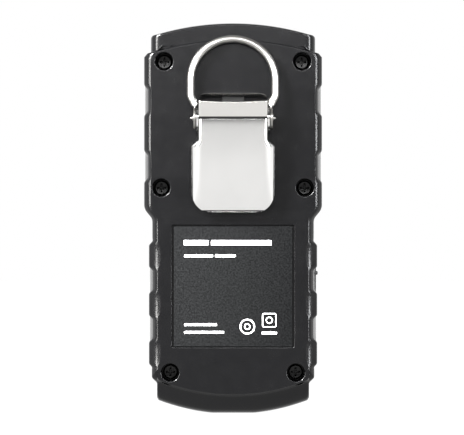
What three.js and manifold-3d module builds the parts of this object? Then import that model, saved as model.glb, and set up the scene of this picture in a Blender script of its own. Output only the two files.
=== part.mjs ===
// Portable gas detector: a hand-held instrument with a belt clip and a D-ring on its back.
//
// Everything is drawn in the view that faces the back of the instrument: x to the right, y up its length and
// depth d towards the viewer, so d = 0 is the display face and d = BODY_DEPTH is the flat back. The outer group
// then stands that drawing upright, with its length along +Z and its back facing -Y. Lengths are millimetres.

import * as THREE from 'three';
import { mergeVertices } from 'three/addons/utils/BufferGeometryUtils.js';
import Module from 'manifold-3d';

const wasm = await Module();
wasm.setup();

// ---- Driving dimensions ----
const LENGTH = 148;
const BODY_DEPTH = 34;
const PARTING_DEPTH = 18;
const SEAM = 0.6;
const GAP = 0.3;
const WALL = 2.4;
const EDGE_BEVEL = 2.5;

const UPPER_HALF_WIDTH = 33.7;
const WAIST_HALF_WIDTH = 30.65;
const GRIP_HALF_WIDTH = 31.7;
const GRIP_RECESS_HALF_WIDTH = 30.5;
const FOOT_HALF_WIDTH = 28.8;
const STANDING_HALF_WIDTH = 8;
const BAND_HALF_WIDTH = 31.2;
const BAND_DEPTH = 29;
const CROWN_RADIUS = 102;
const PLATEAU_TOP = 141.6;
const FOOT_RADIUS = 70;
const PLATEAU_FOOT = 6.2;
const PLATEAU_FOOT_RADIUS = 75;

const GRIP_PADS = { first: 18.4, pitch: 18.4, length: 8.9, count: 3, ramp: 0.9 };
const NOTCHES = [{ from: 87.6, to: 99.3 }, { from: 112.8, to: 124.2 }];
const NOTCH_DEPTH = 1.3;
const NOTCH_RAMP = 1.5;

const SCREW_PLACES = [[26.1, 133.3], [27.2, 85.5], [23.8, 15.5]];
const COUNTERBORE = { radius: 3.4, floor: 21 };
const BOSS_RADIUS = 4.3;
const SCREW = { shank: 1.45, head: 2.85, headHeight: 2, tip: 7 };

const LABEL = { halfWidth: 22.4, bottom: 25.4, top: 70.8, thickness: 0.3 };
const LABEL_RECESS = 0.9;

const PIN = { y: 111.7, d: 40, radius: 1, headRadius: 0.95, headFoot: 15.2, end: 16.3 };
const SHEET = 0.9;
const JAW = { neck: 12.8, halfWidth: 15.8, shoulderTop: 103.6, shoulderFoot: 100.7, foot: 75.9, cornerY: 8.9 };
const CLIP_BASE = { halfWidth: 12.6, foot: 78.5, top: 121.3, thickness: 0.8, earInner: 13.1, earOuter: 13.8 };
const CLIP_SCREWS = [86, 99];
const THUMB_TIP = { y: 118.3, d: 47 };
const RING = { wire: 1.4, halfWidth: 16, top: 143.1, leg: 14.5, eye: 3.3, eyeInner: 14.1, eyeOuter: 14.9 };

const DISPLAY = { halfWidth: 24, bottom: 54, top: 97, pane: 1.2, viewHalfWidth: 20.5, viewBottom: 58, viewTop: 93 };
const SENSOR = { radius: 10, height: 14.2, x: 12.2, rows: [108.6, 130] };
const INLET_RADIUS = 6.2;
const GRILLE = { halfWidth: 24.6, bottom: 100.4, top: 138.4, thickness: 1.2 };
const BOARD = { depth: 19.9, thickness: 1.6, halfWidth: 26, bottom: 24, top: 134 };
const KEYS = [{ name: 'key_left', x: -17 }, { name: 'key_power', x: 0 }, { name: 'key_right', x: 17 }];
const KEY = { halfWidth: 5.6, halfHeight: 4.2, y: 40, proud: 0.8, flange: 1.2, travel: 0.8 };
const PORT = { y: 47, d: 9.5, halfLength: 4.8, halfHeight: 1.9 };
const PORT_COVER = { halfLength: 8, halfHeight: 3.8, thickness: 1.5 };
const BUZZER = { y: 20, radius: 6, height: 6 };
const ALARM_LIGHT = { inner: 9, outer: 22, bottom: 140.4, top: 143.2 };

const ROUND = 20;

// ---- Materials ----
const finish = (color, roughness, metalness = 0, extra = {}) =>
  new THREE.MeshStandardMaterial({ color, roughness, metalness, ...extra });

const shellPlastic = finish(0x2b2b2f, 0.55);
const softRubber = finish(0x1c1c1e, 0.85);
const polishedSteel = finish(0xd9d9d9, 0.15, 1);
const springSteel = finish(0x9a9a9c, 0.3, 1);
const blackScrew = finish(0x101012, 0.45, 0.6);
const labelFilm = finish(0x47474d, 0.7);
const paneGlass = finish(0x0c0d10, 0.05, 0, { transparent: true, opacity: 0.6 });
const screenGlass = finish(0x15171c, 0.2);
const greenBoard = finish(0x1d5a34, 0.5);
const sensorPlastic = finish(0xc9c9c4, 0.5);
const filterFelt = finish(0xdadad6, 0.95);
const cellWrap = finish(0x3b6ea5, 0.5);
const alarmLens = finish(0xc23a2b, 0.2, 0, { transparent: true, opacity: 0.8 });
const keyRubber = finish(0x4a4d52, 0.7);

// ---- Solids ----
function solidOf(geometry) {
  const bare = geometry.index ? geometry.toNonIndexed() : geometry.clone();
  bare.deleteAttribute('normal');
  bare.deleteAttribute('uv');
  const merged = mergeVertices(bare, 1e-4);
  return new wasm.Manifold(new wasm.Mesh({
    numProp: 3,
    vertProperties: new Float32Array(merged.attributes.position.array),
    triVerts: new Uint32Array(merged.index.array),
  }));
}

function geometryOf(solid) {
  const mesh = solid.getMesh();
  const geometry = new THREE.BufferGeometry();
  geometry.setAttribute('position', new THREE.BufferAttribute(new Float32Array(mesh.vertProperties), 3));
  geometry.setIndex(new THREE.BufferAttribute(new Uint32Array(mesh.triVerts), 1));
  return geometry;
}

const detector = new THREE.Group();

function place(name, solid, material) {
  const mesh = new THREE.Mesh(geometryOf(solid), material);
  mesh.name = name;
  detector.add(mesh);
}

const point = (x, y) => new THREE.Vector2(x, y);
const join = (solids) => solids.reduce((whole, next) => whole.add(next));
const cutAll = (solid, tools) => tools.reduce((whole, tool) => whole.subtract(tool), solid);
const bothSides = (make) => [-1, 1].map(make);

function block(x0, x1, y0, y1, d0, d1) {
  const box = new THREE.BoxGeometry(x1 - x0, y1 - y0, d1 - d0);
  box.translate((x0 + x1) / 2, (y0 + y1) / 2, (d0 + d1) / 2);
  return solidOf(box);
}

// A round bar along the depth.
function post(x, y, d0, d1, radius, sides = ROUND, tipRadius = radius) {
  const bar = new THREE.CylinderGeometry(tipRadius, radius, d1 - d0, sides);
  bar.rotateX(Math.PI / 2);
  bar.translate(x, y, (d0 + d1) / 2);
  return solidOf(bar);
}

// A round bar across the width.
function axle(y, d, x0, x1, radius, sides = ROUND) {
  const bar = new THREE.CylinderGeometry(radius, radius, x1 - x0, sides);
  bar.rotateZ(Math.PI / 2);
  bar.translate((x0 + x1) / 2, y, d);
  return solidOf(bar);
}

// An outline in the back view, carried along the depth.
function slab(outline, d0, d1) {
  const body = new THREE.ExtrudeGeometry(new THREE.Shape(outline), { depth: d1 - d0, bevelEnabled: false });
  body.translate(0, 0, d0);
  return solidOf(body);
}

// The same, with one end's rim rounded off by `bevel`: the end at `rim`, with the plain end at `root`.
function beadedSlab(outline, root, rim, bevel, steps = 2) {
  const [low, high] = [Math.min(root, rim), Math.max(root, rim)];
  const body = new THREE.ExtrudeGeometry(new THREE.Shape(outline), {
    depth: high - low,
    bevelThickness: bevel,
    bevelSize: bevel,
    bevelOffset: -bevel,
    bevelSegments: steps,
  });
  body.translate(0, 0, rim > root ? low - bevel : low + bevel);
  const reach = 2 * LENGTH;
  return solidOf(body).intersect(block(-reach, reach, -reach, reach, low, high));
}

// A side profile, given as [y, d] pairs, carried across the width.
function profileAcross(profile, x0, x1) {
  const body = new THREE.ExtrudeGeometry(
    new THREE.Shape(profile.map(([y, d]) => point(-d, y))),
    { depth: x1 - x0, bevelEnabled: false },
  );
  body.rotateY(Math.PI / 2);
  body.translate(x0, 0, 0);
  return solidOf(body);
}

// ---- Outlines ----
const mirrored = (half) => [...half, ...half.filter((p) => p.x > 1e-6).reverse().map((p) => point(-p.x, p.y))];

// Points of an arc whose highest point is (0, apex), from x = from to x = to.
function crown(radius, apex, from, to, steps = 8) {
  return Array.from({ length: steps + 1 }, (_, i) => {
    const x = THREE.MathUtils.lerp(from, to, i / steps);
    return point(x, apex - radius + Math.sqrt(radius * radius - x * x));
  });
}

// Points of an arc whose lowest point is (0, foot).
const cradle = (radius, foot, from, to, steps = 8) =>
  crown(radius, -foot, from, to, steps).map((p) => point(p.x, -p.y));

// The curved foot, cut flat across the middle so that the instrument stands up.
function footEdge() {
  const sink = FOOT_RADIUS - Math.sqrt(FOOT_RADIUS ** 2 - STANDING_HALF_WIDTH ** 2);
  const arc = cradle(FOOT_RADIUS, -sink, STANDING_HALF_WIDTH, FOOT_HALF_WIDTH - 1.5);
  const corner = arc[arc.length - 1];
  return [...arc, point(FOOT_HALF_WIDTH, corner.y + 1.7)];
}

const ankle = () => [point(FOOT_HALF_WIDTH, 11.5), point(30.8, 13.4), point(30.8, 16.8)];

const waist = () => [point(WAIST_HALF_WIDTH, 66), point(WAIST_HALF_WIDTH, 72.4), point(31.2, 73.9),
  point(33.1, 76.8), point(UPPER_HALF_WIDTH, 78.3)];

const shoulder = () => [point(UPPER_HALF_WIDTH, 134.9), point(32.4, 136.5)];

const bandTop = () => [point(BAND_HALF_WIDTH, 142), ...crown(CROWN_RADIUS, LENGTH, BAND_HALF_WIDTH - 1.5, 0)];

const plateauTop = () => [...shoulder(), ...crown(CROWN_RADIUS, PLATEAU_TOP, BAND_HALF_WIDTH - 0.6, 0)];

// Grip pads stand proud of the recessed side between them.
function gripPads() {
  const points = [];
  for (let i = 0; i < GRIP_PADS.count; i++) {
    const low = GRIP_PADS.first + i * GRIP_PADS.pitch;
    const high = low + GRIP_PADS.length;
    if (i > 0) points.push(point(GRIP_RECESS_HALF_WIDTH, low - GRIP_PADS.ramp));
    points.push(point(GRIP_HALF_WIDTH, low), point(GRIP_HALF_WIDTH, high));
    if (i < GRIP_PADS.count - 1) points.push(point(GRIP_RECESS_HALF_WIDTH, high + GRIP_PADS.ramp));
  }
  return points;
}

const sideNotches = () => NOTCHES.flatMap(({ from, to }) => [
  point(UPPER_HALF_WIDTH, from),
  point(UPPER_HALF_WIDTH - NOTCH_DEPTH, from + NOTCH_RAMP),
  point(UPPER_HALF_WIDTH - NOTCH_DEPTH, to - NOTCH_RAMP),
  point(UPPER_HALF_WIDTH, to),
]);

const gripSide = () => [point(GRIP_HALF_WIDTH, 18.4), point(GRIP_HALF_WIDTH, 64.2)];

const frontOutline = () => mirrored([...footEdge(), ...ankle(), ...gripSide(), ...waist(), ...shoulder(),
  point(BAND_HALF_WIDTH, 136.9), ...bandTop()]);

const rearOutline = () => mirrored([...footEdge(), ...ankle(), ...gripPads(), ...waist(), ...sideNotches(),
  ...plateauTop()]);

const bandOutline = () => mirrored([point(BAND_HALF_WIDTH, 128), ...bandTop()]);

// The raised back, which stops short of the foot in a curve of its own.
function plateauOutline() {
  const foot = cradle(PLATEAU_FOOT_RADIUS, PLATEAU_FOOT, 0, FOOT_HALF_WIDTH);
  return mirrored([...foot, point(30.8, 13.6), point(30.8, 16.8), ...gripPads(), ...waist(), ...sideNotches(),
    ...plateauTop()]);
}

const cavityOutline = (apex) => mirrored([...cradle(FOOT_RADIUS, 4.2, 0, 25.4), point(25.4, 12.4), point(27.6, 14.6),
  point(27.6, 74), point(29.9, 79.4), point(29.9, 132), point(27.6, 135), ...crown(CROWN_RADIUS, apex, 27.6, 0)]);

// The line that the seal follows, with `grow` added all round.
const sealOutline = (grow) => mirrored([...cradle(FOOT_RADIUS, 2.2 - grow, 0, 27 + grow), point(27.2 + grow, 12.2),
  point(29.2 + grow, 14), point(29.2 + grow, 73.2 - grow / 2), point(31.2 + grow, 78.6 - grow / 2),
  point(31.2 + grow, 133.6 + grow / 2), point(29.4 + grow, 137.2 + grow / 2), point(29.4 + grow, 141 + grow),
  ...crown(CROWN_RADIUS, 145.7 + grow, 28.2 + grow / 2, 0)]);

const sealBand = (halfWidth, d0, d1) =>
  slab(sealOutline(halfWidth), d0, d1).subtract(slab(sealOutline(-halfWidth), d0 - 1, d1 + 1));

const roundedRectangle = (halfWidth, bottom, top, radius, steps = 4) => {
  const corners = [[halfWidth - radius, bottom + radius, -90], [halfWidth - radius, top - radius, 0],
    [radius - halfWidth, top - radius, 90], [radius - halfWidth, bottom + radius, 180]];
  return corners.flatMap(([cx, cy, start]) => Array.from({ length: steps + 1 }, (_, i) => {
    const angle = THREE.MathUtils.degToRad(start + (90 * i) / steps);
    return point(cx + radius * Math.cos(angle), cy + radius * Math.sin(angle));
  }));
};

const shifted = (outline, x) => outline.map((p) => point(p.x + x, p.y));

const screwPlaces = SCREW_PLACES.flatMap(([x, y]) => [[-x, y], [x, y]]);
const sensorPlaces = SENSOR.rows.flatMap((y) => [[-SENSOR.x, y], [SENSOR.x, y]]);

// ---- Housing ----
const frontRim = PARTING_DEPTH - SEAM / 2;
const rearRim = PARTING_DEPTH + SEAM / 2;
const sealHalfHeight = 0.6;
const grooveHalfWidth = 0.65;

function rearHousing() {
  const body = beadedSlab(rearOutline(), rearRim, BODY_DEPTH - 3, 1.6, 1);
  const band = beadedSlab(bandOutline(), rearRim, BAND_DEPTH, 2.4);
  const plateau = beadedSlab(plateauOutline(), BODY_DEPTH - 8, BODY_DEPTH, EDGE_BEVEL);
  const bosses = screwPlaces.map(([x, y]) => post(x, y, rearRim, BODY_DEPTH - 1, BOSS_RADIUS));
  const clipBosses = CLIP_SCREWS.map((y) => post(0, y, 26.5, BODY_DEPTH - 1, 3.2, 16));
  const cavity = slab(cavityOutline(138.4), rearRim - 1, BODY_DEPTH - WALL);
  const underBand = block(-UPPER_HALF_WIDTH, UPPER_HALF_WIDTH, 133, LENGTH, BAND_DEPTH - WALL, BODY_DEPTH);
  const hollow = cutAll(cavity.subtract(underBand), [...bosses, ...clipBosses]);
  const counterbores = screwPlaces.map(([x, y]) => post(x, y, COUNTERBORE.floor, BODY_DEPTH + 1, COUNTERBORE.radius));
  const shankHoles = screwPlaces.map(([x, y]) => post(x, y, rearRim - 1, BODY_DEPTH, SCREW.shank + GAP, 12));
  const clipHoles = CLIP_SCREWS.map((y) => post(0, y, 25, BODY_DEPTH + 1, 1.3 + GAP, 12));
  const labelRecess = block(-LABEL.halfWidth - 0.8, LABEL.halfWidth + 0.8, LABEL.bottom - 0.5, LABEL.top + 0.7,
    BODY_DEPTH - LABEL_RECESS, BODY_DEPTH + 1);
  const sealGroove = sealBand(grooveHalfWidth, rearRim - 1, PARTING_DEPTH + sealHalfHeight + GAP);
  return cutAll(join([body, band, plateau]),
    [hollow, ...counterbores, ...shankHoles, ...clipHoles, labelRecess, sealGroove]);
}

function keyHole({ x }) {
  const outline = roundedRectangle(KEY.halfWidth + GAP, KEY.y - KEY.halfHeight - GAP,
    KEY.y + KEY.halfHeight + GAP, 2.2);
  return slab(shifted(outline, x), -1, WALL + 1);
}

const alarmOutline = (side, grow) => [
  point(side * (ALARM_LIGHT.inner - grow), ALARM_LIGHT.bottom + 1.2 - grow),
  point(side * (ALARM_LIGHT.outer + grow), ALARM_LIGHT.bottom - 1 - grow),
  point(side * (ALARM_LIGHT.outer + grow), ALARM_LIGHT.top - 1.8 + grow),
  point(side * (ALARM_LIGHT.inner - grow), ALARM_LIGHT.top + 0.4 + grow),
];

const wound = (outline) => (THREE.ShapeUtils.area(outline) < 0 ? [...outline].reverse() : outline);

function frontHousing() {
  const shell = beadedSlab(frontOutline(), frontRim, 0, EDGE_BEVEL + 0.5, 3);
  const bosses = screwPlaces.map(([x, y]) => post(x, y, 1, frontRim, BOSS_RADIUS - 0.6, 16));
  const boardPosts = boardScrewPlaces.map(([x, y]) => post(x, y, WALL - 0.1, BOARD.depth - GAP, 2.6, 12));
  const cavity = slab(cavityOutline(144.4), WALL, frontRim + 1);
  const hollow = cutAll(cavity, bosses);
  const pilotHoles = screwPlaces.map(([x, y]) => post(x, y, SCREW.tip - 1, frontRim + 1, SCREW.shank + GAP, 12));
  const paneRecess = slab(roundedRectangle(DISPLAY.halfWidth + GAP, DISPLAY.bottom - GAP, DISPLAY.top + GAP, 2.5),
    -1, DISPLAY.pane + GAP);
  const viewHole = slab(roundedRectangle(DISPLAY.viewHalfWidth, DISPLAY.viewBottom, DISPLAY.viewTop, 1), 0, WALL + 1);
  const grilleRecess = slab(roundedRectangle(GRILLE.halfWidth + GAP, GRILLE.bottom - GAP, GRILLE.top + GAP, 6),
    -1, GRILLE.thickness + GAP);
  const inlets = sensorPlaces.map(([x, y]) => post(x, y, 0, WALL + 1, INLET_RADIUS));
  const soundSlots = [-4, -2, 0, 2, 4].map((x) => block(x - 0.5, x + 0.5, BUZZER.y - 3, BUZZER.y + 3, -1, WALL + 1));
  const alarmHoles = bothSides((side) => slab(wound(alarmOutline(side, GAP)), -1, WALL + 1));
  const coverRecess = block(GRIP_HALF_WIDTH - PORT_COVER.thickness - 2 * GAP, GRIP_HALF_WIDTH + 1,
    PORT.y - PORT_COVER.halfLength - GAP, PORT.y + PORT_COVER.halfLength + GAP,
    PORT.d - PORT_COVER.halfHeight - GAP, PORT.d + PORT_COVER.halfHeight + GAP);
  const portHole = block(20, GRIP_HALF_WIDTH + 1, PORT.y - PORT.halfLength, PORT.y + PORT.halfLength,
    PORT.d - PORT.halfHeight, PORT.d + PORT.halfHeight);
  const sealGroove = sealBand(grooveHalfWidth, PARTING_DEPTH - sealHalfHeight - GAP, frontRim + 1);
  const hollowed = cutAll(shell, [hollow, paneRecess, viewHole, grilleRecess, ...inlets, ...soundSlots,
    ...alarmHoles, coverRecess, portHole, sealGroove, ...KEYS.map(keyHole)]);
  const boardHoles = boardScrewPlaces.map(([x, y]) => post(x, y, BOARD.depth - 7, BOARD.depth + 1, 0.8 + GAP, 10));
  return cutAll(join([hollowed, ...boardPosts]), [...pilotHoles, ...boardHoles]);
}

function housingScrew([x, y]) {
  const seat = COUNTERBORE.floor + GAP;
  const head = post(x, y, seat, seat + SCREW.headHeight, SCREW.head, 20, SCREW.head * 0.8);
  const shank = post(x, y, SCREW.tip, seat + 0.1, SCREW.shank, 12);
  const slotDepth = seat + SCREW.headHeight - 1.1;
  const cross = join([block(x - 1.7, x + 1.7, y - 0.35, y + 0.35, slotDepth, seat + 4),
    block(x - 0.35, x + 0.35, y - 1.7, y + 1.7, slotDepth, seat + 4)]);
  return join([head, shank]).subtract(cross);
}

// ---- Belt clip ----
// The side view of the jaw's outer face, from its toe up to the bend at the pin.
const jawFace = [[75.9, 36.2], [76.3, 37.6], [77.6, 39.4], [80, 40.9], [84, 41.9], [94, 42.9], [104, 43.5], [112, 43.8]];

function jawOutline(inset) {
  const wide = JAW.halfWidth - inset;
  const foot = JAW.foot + inset;
  const corner = Array.from({ length: 7 }, (_, i) => {
    const angle = (Math.PI / 2) * (i / 6);
    return point(wide - 5.3 + 5.3 * Math.sin(angle), foot + JAW.cornerY * (1 - Math.cos(angle)));
  });
  return mirrored([...corner, point(wide, JAW.shoulderFoot), point(JAW.neck - inset + 0.9, JAW.shoulderTop - 1),
    point(JAW.neck - inset, JAW.shoulderTop + 0.6), point(JAW.neck - inset, 115.2)]);
}

function clipJaw() {
  const rim = THUMB_TIP.d + 1;
  const thinned = jawFace.map(([y, d]) => [y, d - SHEET]);
  const outer = slab(jawOutline(0), 36.2, rim)
    .intersect(profileAcross([...jawFace, [115, 43.8], [115, 36.2], [108.4, 36.2], [104, 39.6], [84, 39.2], [79, 36.2]]
      .reverse(), -20, 20));
  const inner = slab(jawOutline(SHEET), 30, rim)
    .intersect(profileAcross([...thinned, [120, 43.8 - SHEET], [120, 30], [75.9, 30]].reverse(), -20, 20));
  const flangeCorners = block(-20, 20, PIN.y, 116, 30, 45)
    .subtract(axle(PIN.y, PIN.d, -21, 21, 3.5, 32)).subtract(block(-20, 20, 111, 112.2, 42.8, 46));
  const thumb = profileAcross([[111.6, 43.8], [THUMB_TIP.y, THUMB_TIP.d], [THUMB_TIP.y + 0.3, THUMB_TIP.d - 0.8],
    [112, 43.8 - SHEET], [111, 43.8 - SHEET]], -12.9, 12.9);
  const pinHoles = axle(PIN.y, PIN.d, -20, 20, PIN.radius + GAP, 16);
  return cutAll(outer.subtract(inner), [flangeCorners, pinHoles]).add(thumb);
}

function clipBase() {
  const low = BODY_DEPTH + GAP;
  const high = low + CLIP_BASE.thickness;
  const plate = slab(roundedRectangle(CLIP_BASE.halfWidth, CLIP_BASE.foot, CLIP_BASE.top, 3), low, high);
  const lip = block(-11.5, 11.5, CLIP_BASE.top - 0.9, CLIP_BASE.top, low, 37.4);
  const earFoot = block(-CLIP_BASE.earOuter, CLIP_BASE.earOuter, 104, 115.2, low, high);
  const earProfile = [[104, low], [115.2, low], ...Array.from({ length: 9 }, (_, i) => {
    const angle = (Math.PI * i) / 8;
    return [PIN.y + 3.3 * Math.cos(angle), PIN.d + 3.3 * Math.sin(angle)];
  })];
  const ears = bothSides((side) => (side < 0
    ? profileAcross(earProfile, -CLIP_BASE.earOuter, -CLIP_BASE.earInner)
    : profileAcross(earProfile, CLIP_BASE.earInner, CLIP_BASE.earOuter)));
  const pinHoles = axle(PIN.y, PIN.d, -20, 20, PIN.radius + GAP, 16);
  const screwHoles = CLIP_SCREWS.map((y) => post(0, y, low - 1, high + 1, 1.3 + GAP, 12));
  return cutAll(join([plate, lip, earFoot, ...ears]), [pinHoles, ...screwHoles]);
}

function clipPin() {
  const shank = PIN.headFoot - 0.1;
  const profile = [point(0, -PIN.end), point(PIN.headRadius, -PIN.headFoot), point(PIN.radius, -shank),
    point(PIN.radius, shank), point(PIN.headRadius, PIN.headFoot), point(0, PIN.end)];
  const pin = new THREE.LatheGeometry(profile, 16);
  pin.rotateZ(Math.PI / 2);
  pin.translate(0, PIN.y, PIN.d);
  return solidOf(pin);
}

// A torsion spring: turns round the pin, and a leg on the base plate and one behind the jaw.
class SpringLine extends THREE.Curve {
  getPoint(t, target = new THREE.Vector3()) {
    const turns = 4.5;
    const angle = 2 * Math.PI * turns * t + Math.PI;
    const radius = 1.85;
    const across = THREE.MathUtils.lerp(-4.5, 4.5, t);
    return target.set(across, PIN.y + radius * Math.sin(angle), PIN.d + radius * Math.cos(angle));
  }
}

function clipSpring() {
  const wire = new THREE.Shape(Array.from({ length: 5 }, (_, i) =>
    point(0.38 * Math.cos(i * Math.PI * 0.4), 0.38 * Math.sin(i * Math.PI * 0.4))));
  const coil = new THREE.ExtrudeGeometry(wire, { steps: 45, bevelEnabled: false, extrudePath: new SpringLine() });
  const backLeg = profileAcross([[111.7, 37.8], [104.5, 35.7], [104.5, 36.4], [111.7, 38.5]], -4.88, -4.12);
  const frontLeg = profileAcross([[111.7, 41.5], [104.5, 41.5], [104.5, 42.2], [111.7, 42.2]], 4.12, 4.88);
  return join([solidOf(coil), backLeg, frontLeg]);
}

function clipScrew(y) {
  const seat = BODY_DEPTH + 2 * GAP + CLIP_BASE.thickness;
  const head = post(0, y, seat, seat + 1.3, 2.5, 16, 2);
  const shank = post(0, y, 27, seat + 0.1, 1.3, 12);
  return join([head, shank]).subtract(block(-1.4, 1.4, y - 0.3, y + 0.3, seat + 0.6, seat + 3));
}

// The D-ring leans back from the pin until its bow rests on the flat back.
function dRing() {
  const lean = Math.asin((PIN.d - BODY_DEPTH - RING.wire - GAP) / (RING.top - RING.wire - PIN.y));
  const reach = (RING.top - PIN.y) / Math.cos(lean) - RING.wire;
  const bowCentre = reach - RING.halfWidth;
  const half = [point(RING.leg, 2.6), point(RING.leg, 4.6), point(15.3, 7.2), point(RING.halfWidth, 10)];
  const bow = Array.from({ length: 17 }, (_, i) => {
    const angle = (Math.PI * i) / 16;
    return point(RING.halfWidth * Math.cos(angle), bowCentre + RING.halfWidth * Math.sin(angle));
  });
  const line = [...half, ...bow, ...[...half].reverse().map((p) => point(-p.x, p.y))];
  const path = new THREE.CatmullRomCurve3(line.map((p) => new THREE.Vector3(p.x, p.y, 0)), false, 'centripetal');
  const wire = new THREE.Shape(Array.from({ length: 8 }, (_, i) =>
    point(RING.wire * Math.cos((i * Math.PI) / 4), RING.wire * Math.sin((i * Math.PI) / 4))));
  const rod = solidOf(new THREE.ExtrudeGeometry(wire, { steps: 40, bevelEnabled: false, extrudePath: path }));
  const eyes = bothSides((side) => (side < 0
    ? axle(0, 0, -RING.eyeOuter, -RING.eyeInner, RING.eye)
    : axle(0, 0, RING.eyeInner, RING.eyeOuter, RING.eye)));
  const flats = block(-RING.eyeInner, RING.eyeInner, -4, 6, -4, 4);
  const hole = axle(0, 0, -20, 20, PIN.radius + GAP, 16);
  const ring = join([rod, ...eyes]).subtract(flats).subtract(hole);
  return ring.rotate([-THREE.MathUtils.radToDeg(lean), 0, 0]).translate([0, PIN.y, PIN.d]);
}

// ---- Display side and insides ----
function displayPane() {
  return slab(roundedRectangle(DISPLAY.halfWidth, DISPLAY.bottom, DISPLAY.top, 2.2), 0.1, DISPLAY.pane);
}

function displayModule() {
  return block(-23, 23, DISPLAY.viewBottom - 3, DISPLAY.viewTop + 2.5, WALL + GAP, WALL + GAP + 4.2);
}

function displayBracket() {
  const low = WALL + 4.2 + 2 * GAP;
  const high = BOARD.depth - GAP;
  return block(-22, 22, DISPLAY.viewBottom - 2, DISPLAY.viewTop + 1.5, low, high)
    .subtract(block(-20, 20, DISPLAY.viewBottom, DISPLAY.viewTop - 0.5, low - 1, high + 1));
}

const boardScrewPlaces = [[-23.6, 99], [23.6, 99], [-23.5, 28], [23.5, 28]];

function mainBoard() {
  const high = BOARD.depth + BOARD.thickness;
  const plate = slab(roundedRectangle(BOARD.halfWidth, BOARD.bottom, BOARD.top, 2), BOARD.depth, high);
  const screwHoles = boardScrewPlaces.map(([x, y]) => post(x, y, BOARD.depth - 1, high + 1, 0.8 + GAP, 10));
  const clearances = screwPlaces.map(([x, y]) => post(x, y, BOARD.depth - 1, high + 1, BOSS_RADIUS + 0.6));
  return cutAll(plate, [...screwHoles, ...clearances]);
}

function boardScrew([x, y]) {
  const seat = BOARD.depth + BOARD.thickness + GAP;
  return join([post(x, y, seat, seat + 1.2, 1.7, 12), post(x, y, BOARD.depth - 5.5, seat + 0.1, 0.8, 10)]);
}

function gasSensor([x, y]) {
  const low = WALL + 0.9;
  return join([post(x, y, low + 0.6, low + SENSOR.height - 0.6, SENSOR.radius),
    post(x, y, low, low + 0.7, 7.4)]);
}

function sensorGrille() {
  const plate = slab(roundedRectangle(GRILLE.halfWidth, GRILLE.bottom, GRILLE.top, 5.7), 0.1, GRILLE.thickness);
  const slots = sensorPlaces.flatMap(([x, y]) => [-3.6, -1.2, 1.2, 3.6].map((rise) => {
    const half = Math.sqrt(5.2 ** 2 - rise ** 2);
    return block(x - half, x + half, y + rise - 0.55, y + rise + 0.55, -1, 3);
  }));
  return cutAll(plate, slots);
}

const dustFilter = ([x, y]) => post(x, y, GRILLE.thickness + 2 * GAP, WALL + 0.5, INLET_RADIUS - GAP);

function batteryPack() {
  return beadedSlab(roundedRectangle(17.5, 26, 76, 2), 22.4, 31.2, 1.2);
}

function batteryLead() {
  const route = new THREE.CatmullRomCurve3([[10, 76.3], [10.4, 78.5], [13, 80.4], [16, 81.6], [17.5, 84]]
    .map(([x, y], i) => new THREE.Vector3(x, y, 27 - i * 0.6)));
  const section = new THREE.Shape(Array.from({ length: 8 }, (_, i) =>
    point(0.9 * Math.cos((i * Math.PI) / 4), 0.9 * Math.sin((i * Math.PI) / 4))));
  return solidOf(new THREE.ExtrudeGeometry(section, { steps: 10, bevelEnabled: false, extrudePath: route }));
}

const batteryPlug = () => block(15.5, 19.5, 84.8, 89, 21.8, 25.6);

function key({ x }) {
  const cap = beadedSlab(shifted(roundedRectangle(KEY.halfWidth, KEY.y - KEY.halfHeight, KEY.y + KEY.halfHeight, 2), x),
    WALL + 0.4, -KEY.proud, 0.6);
  const reach = KEY.flange;
  const flange = slab(shifted(roundedRectangle(KEY.halfWidth + reach, KEY.y - KEY.halfHeight - reach,
    KEY.y + KEY.halfHeight + reach, 2.4), x), WALL + GAP, WALL + GAP + 0.8);
  return cap.add(flange);
}

const keyMat = () => slab(roundedRectangle(24.6, 32.5, 47.5, 2), WALL + 2 * GAP + 0.8 + KEY.travel, 5.6);

const keyBoard = () => slab(roundedRectangle(24.6, 32, 48, 1), 5.9, 7.1);

const buzzer = () => post(0, BUZZER.y, WALL + GAP, WALL + GAP + BUZZER.height, BUZZER.radius);

const vibrationMotor = () => post(14, 22, WALL + GAP, WALL + GAP + 3, 4.5);

const usbSocket = () => block(22.6, GRIP_HALF_WIDTH - 3, PORT.y - 4.4, PORT.y + 4.4, PORT.d - 1.6, PORT.d + 1.6)
  .subtract(block(24, GRIP_HALF_WIDTH, PORT.y - 4, PORT.y + 4, PORT.d - 1.2, PORT.d + 1.2));

// The rubber flap over the socket turns on its lower edge, and its plug fits the socket's mouth.
function portCover() {
  const outer = GRIP_HALF_WIDTH - 0.1;
  const flap = block(outer - PORT_COVER.thickness, outer,
    PORT.y - PORT_COVER.halfLength, PORT.y + PORT_COVER.halfLength,
    PORT.d - PORT_COVER.halfHeight, PORT.d + PORT_COVER.halfHeight);
  const plug = block(outer - PORT_COVER.thickness - 1, outer - 1, PORT.y - 3.4, PORT.y + 3.9, PORT.d - 1.3, PORT.d + 1.3);
  const pullTab = block(outer - 0.5, outer + 0.8, PORT.y + 5.4, PORT.y + 6.6, PORT.d - 2.4, PORT.d + 2.4);
  return join([flap, plug, pullTab]);
}

const alarmLight = (side) => slab(wound(alarmOutline(side, 0)), 0.1, WALL + 1.2);

const housingSeal = () => sealBand(grooveHalfWidth - GAP, PARTING_DEPTH - sealHalfHeight, PARTING_DEPTH + sealHalfHeight);

function rearLabel() {
  const low = BODY_DEPTH - LABEL_RECESS + GAP;
  return block(-LABEL.halfWidth, LABEL.halfWidth, LABEL.bottom, LABEL.top, low, low + LABEL.thickness);
}

// ---- Assembly ----
place('front_housing', frontHousing(), shellPlastic);
place('rear_housing', rearHousing(), shellPlastic);
place('housing_seal', housingSeal(), softRubber);
screwPlaces.forEach((spot, i) => place(`housing_screw_${i + 1}`, housingScrew(spot), blackScrew));
place('rear_label', rearLabel(), labelFilm);

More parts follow.
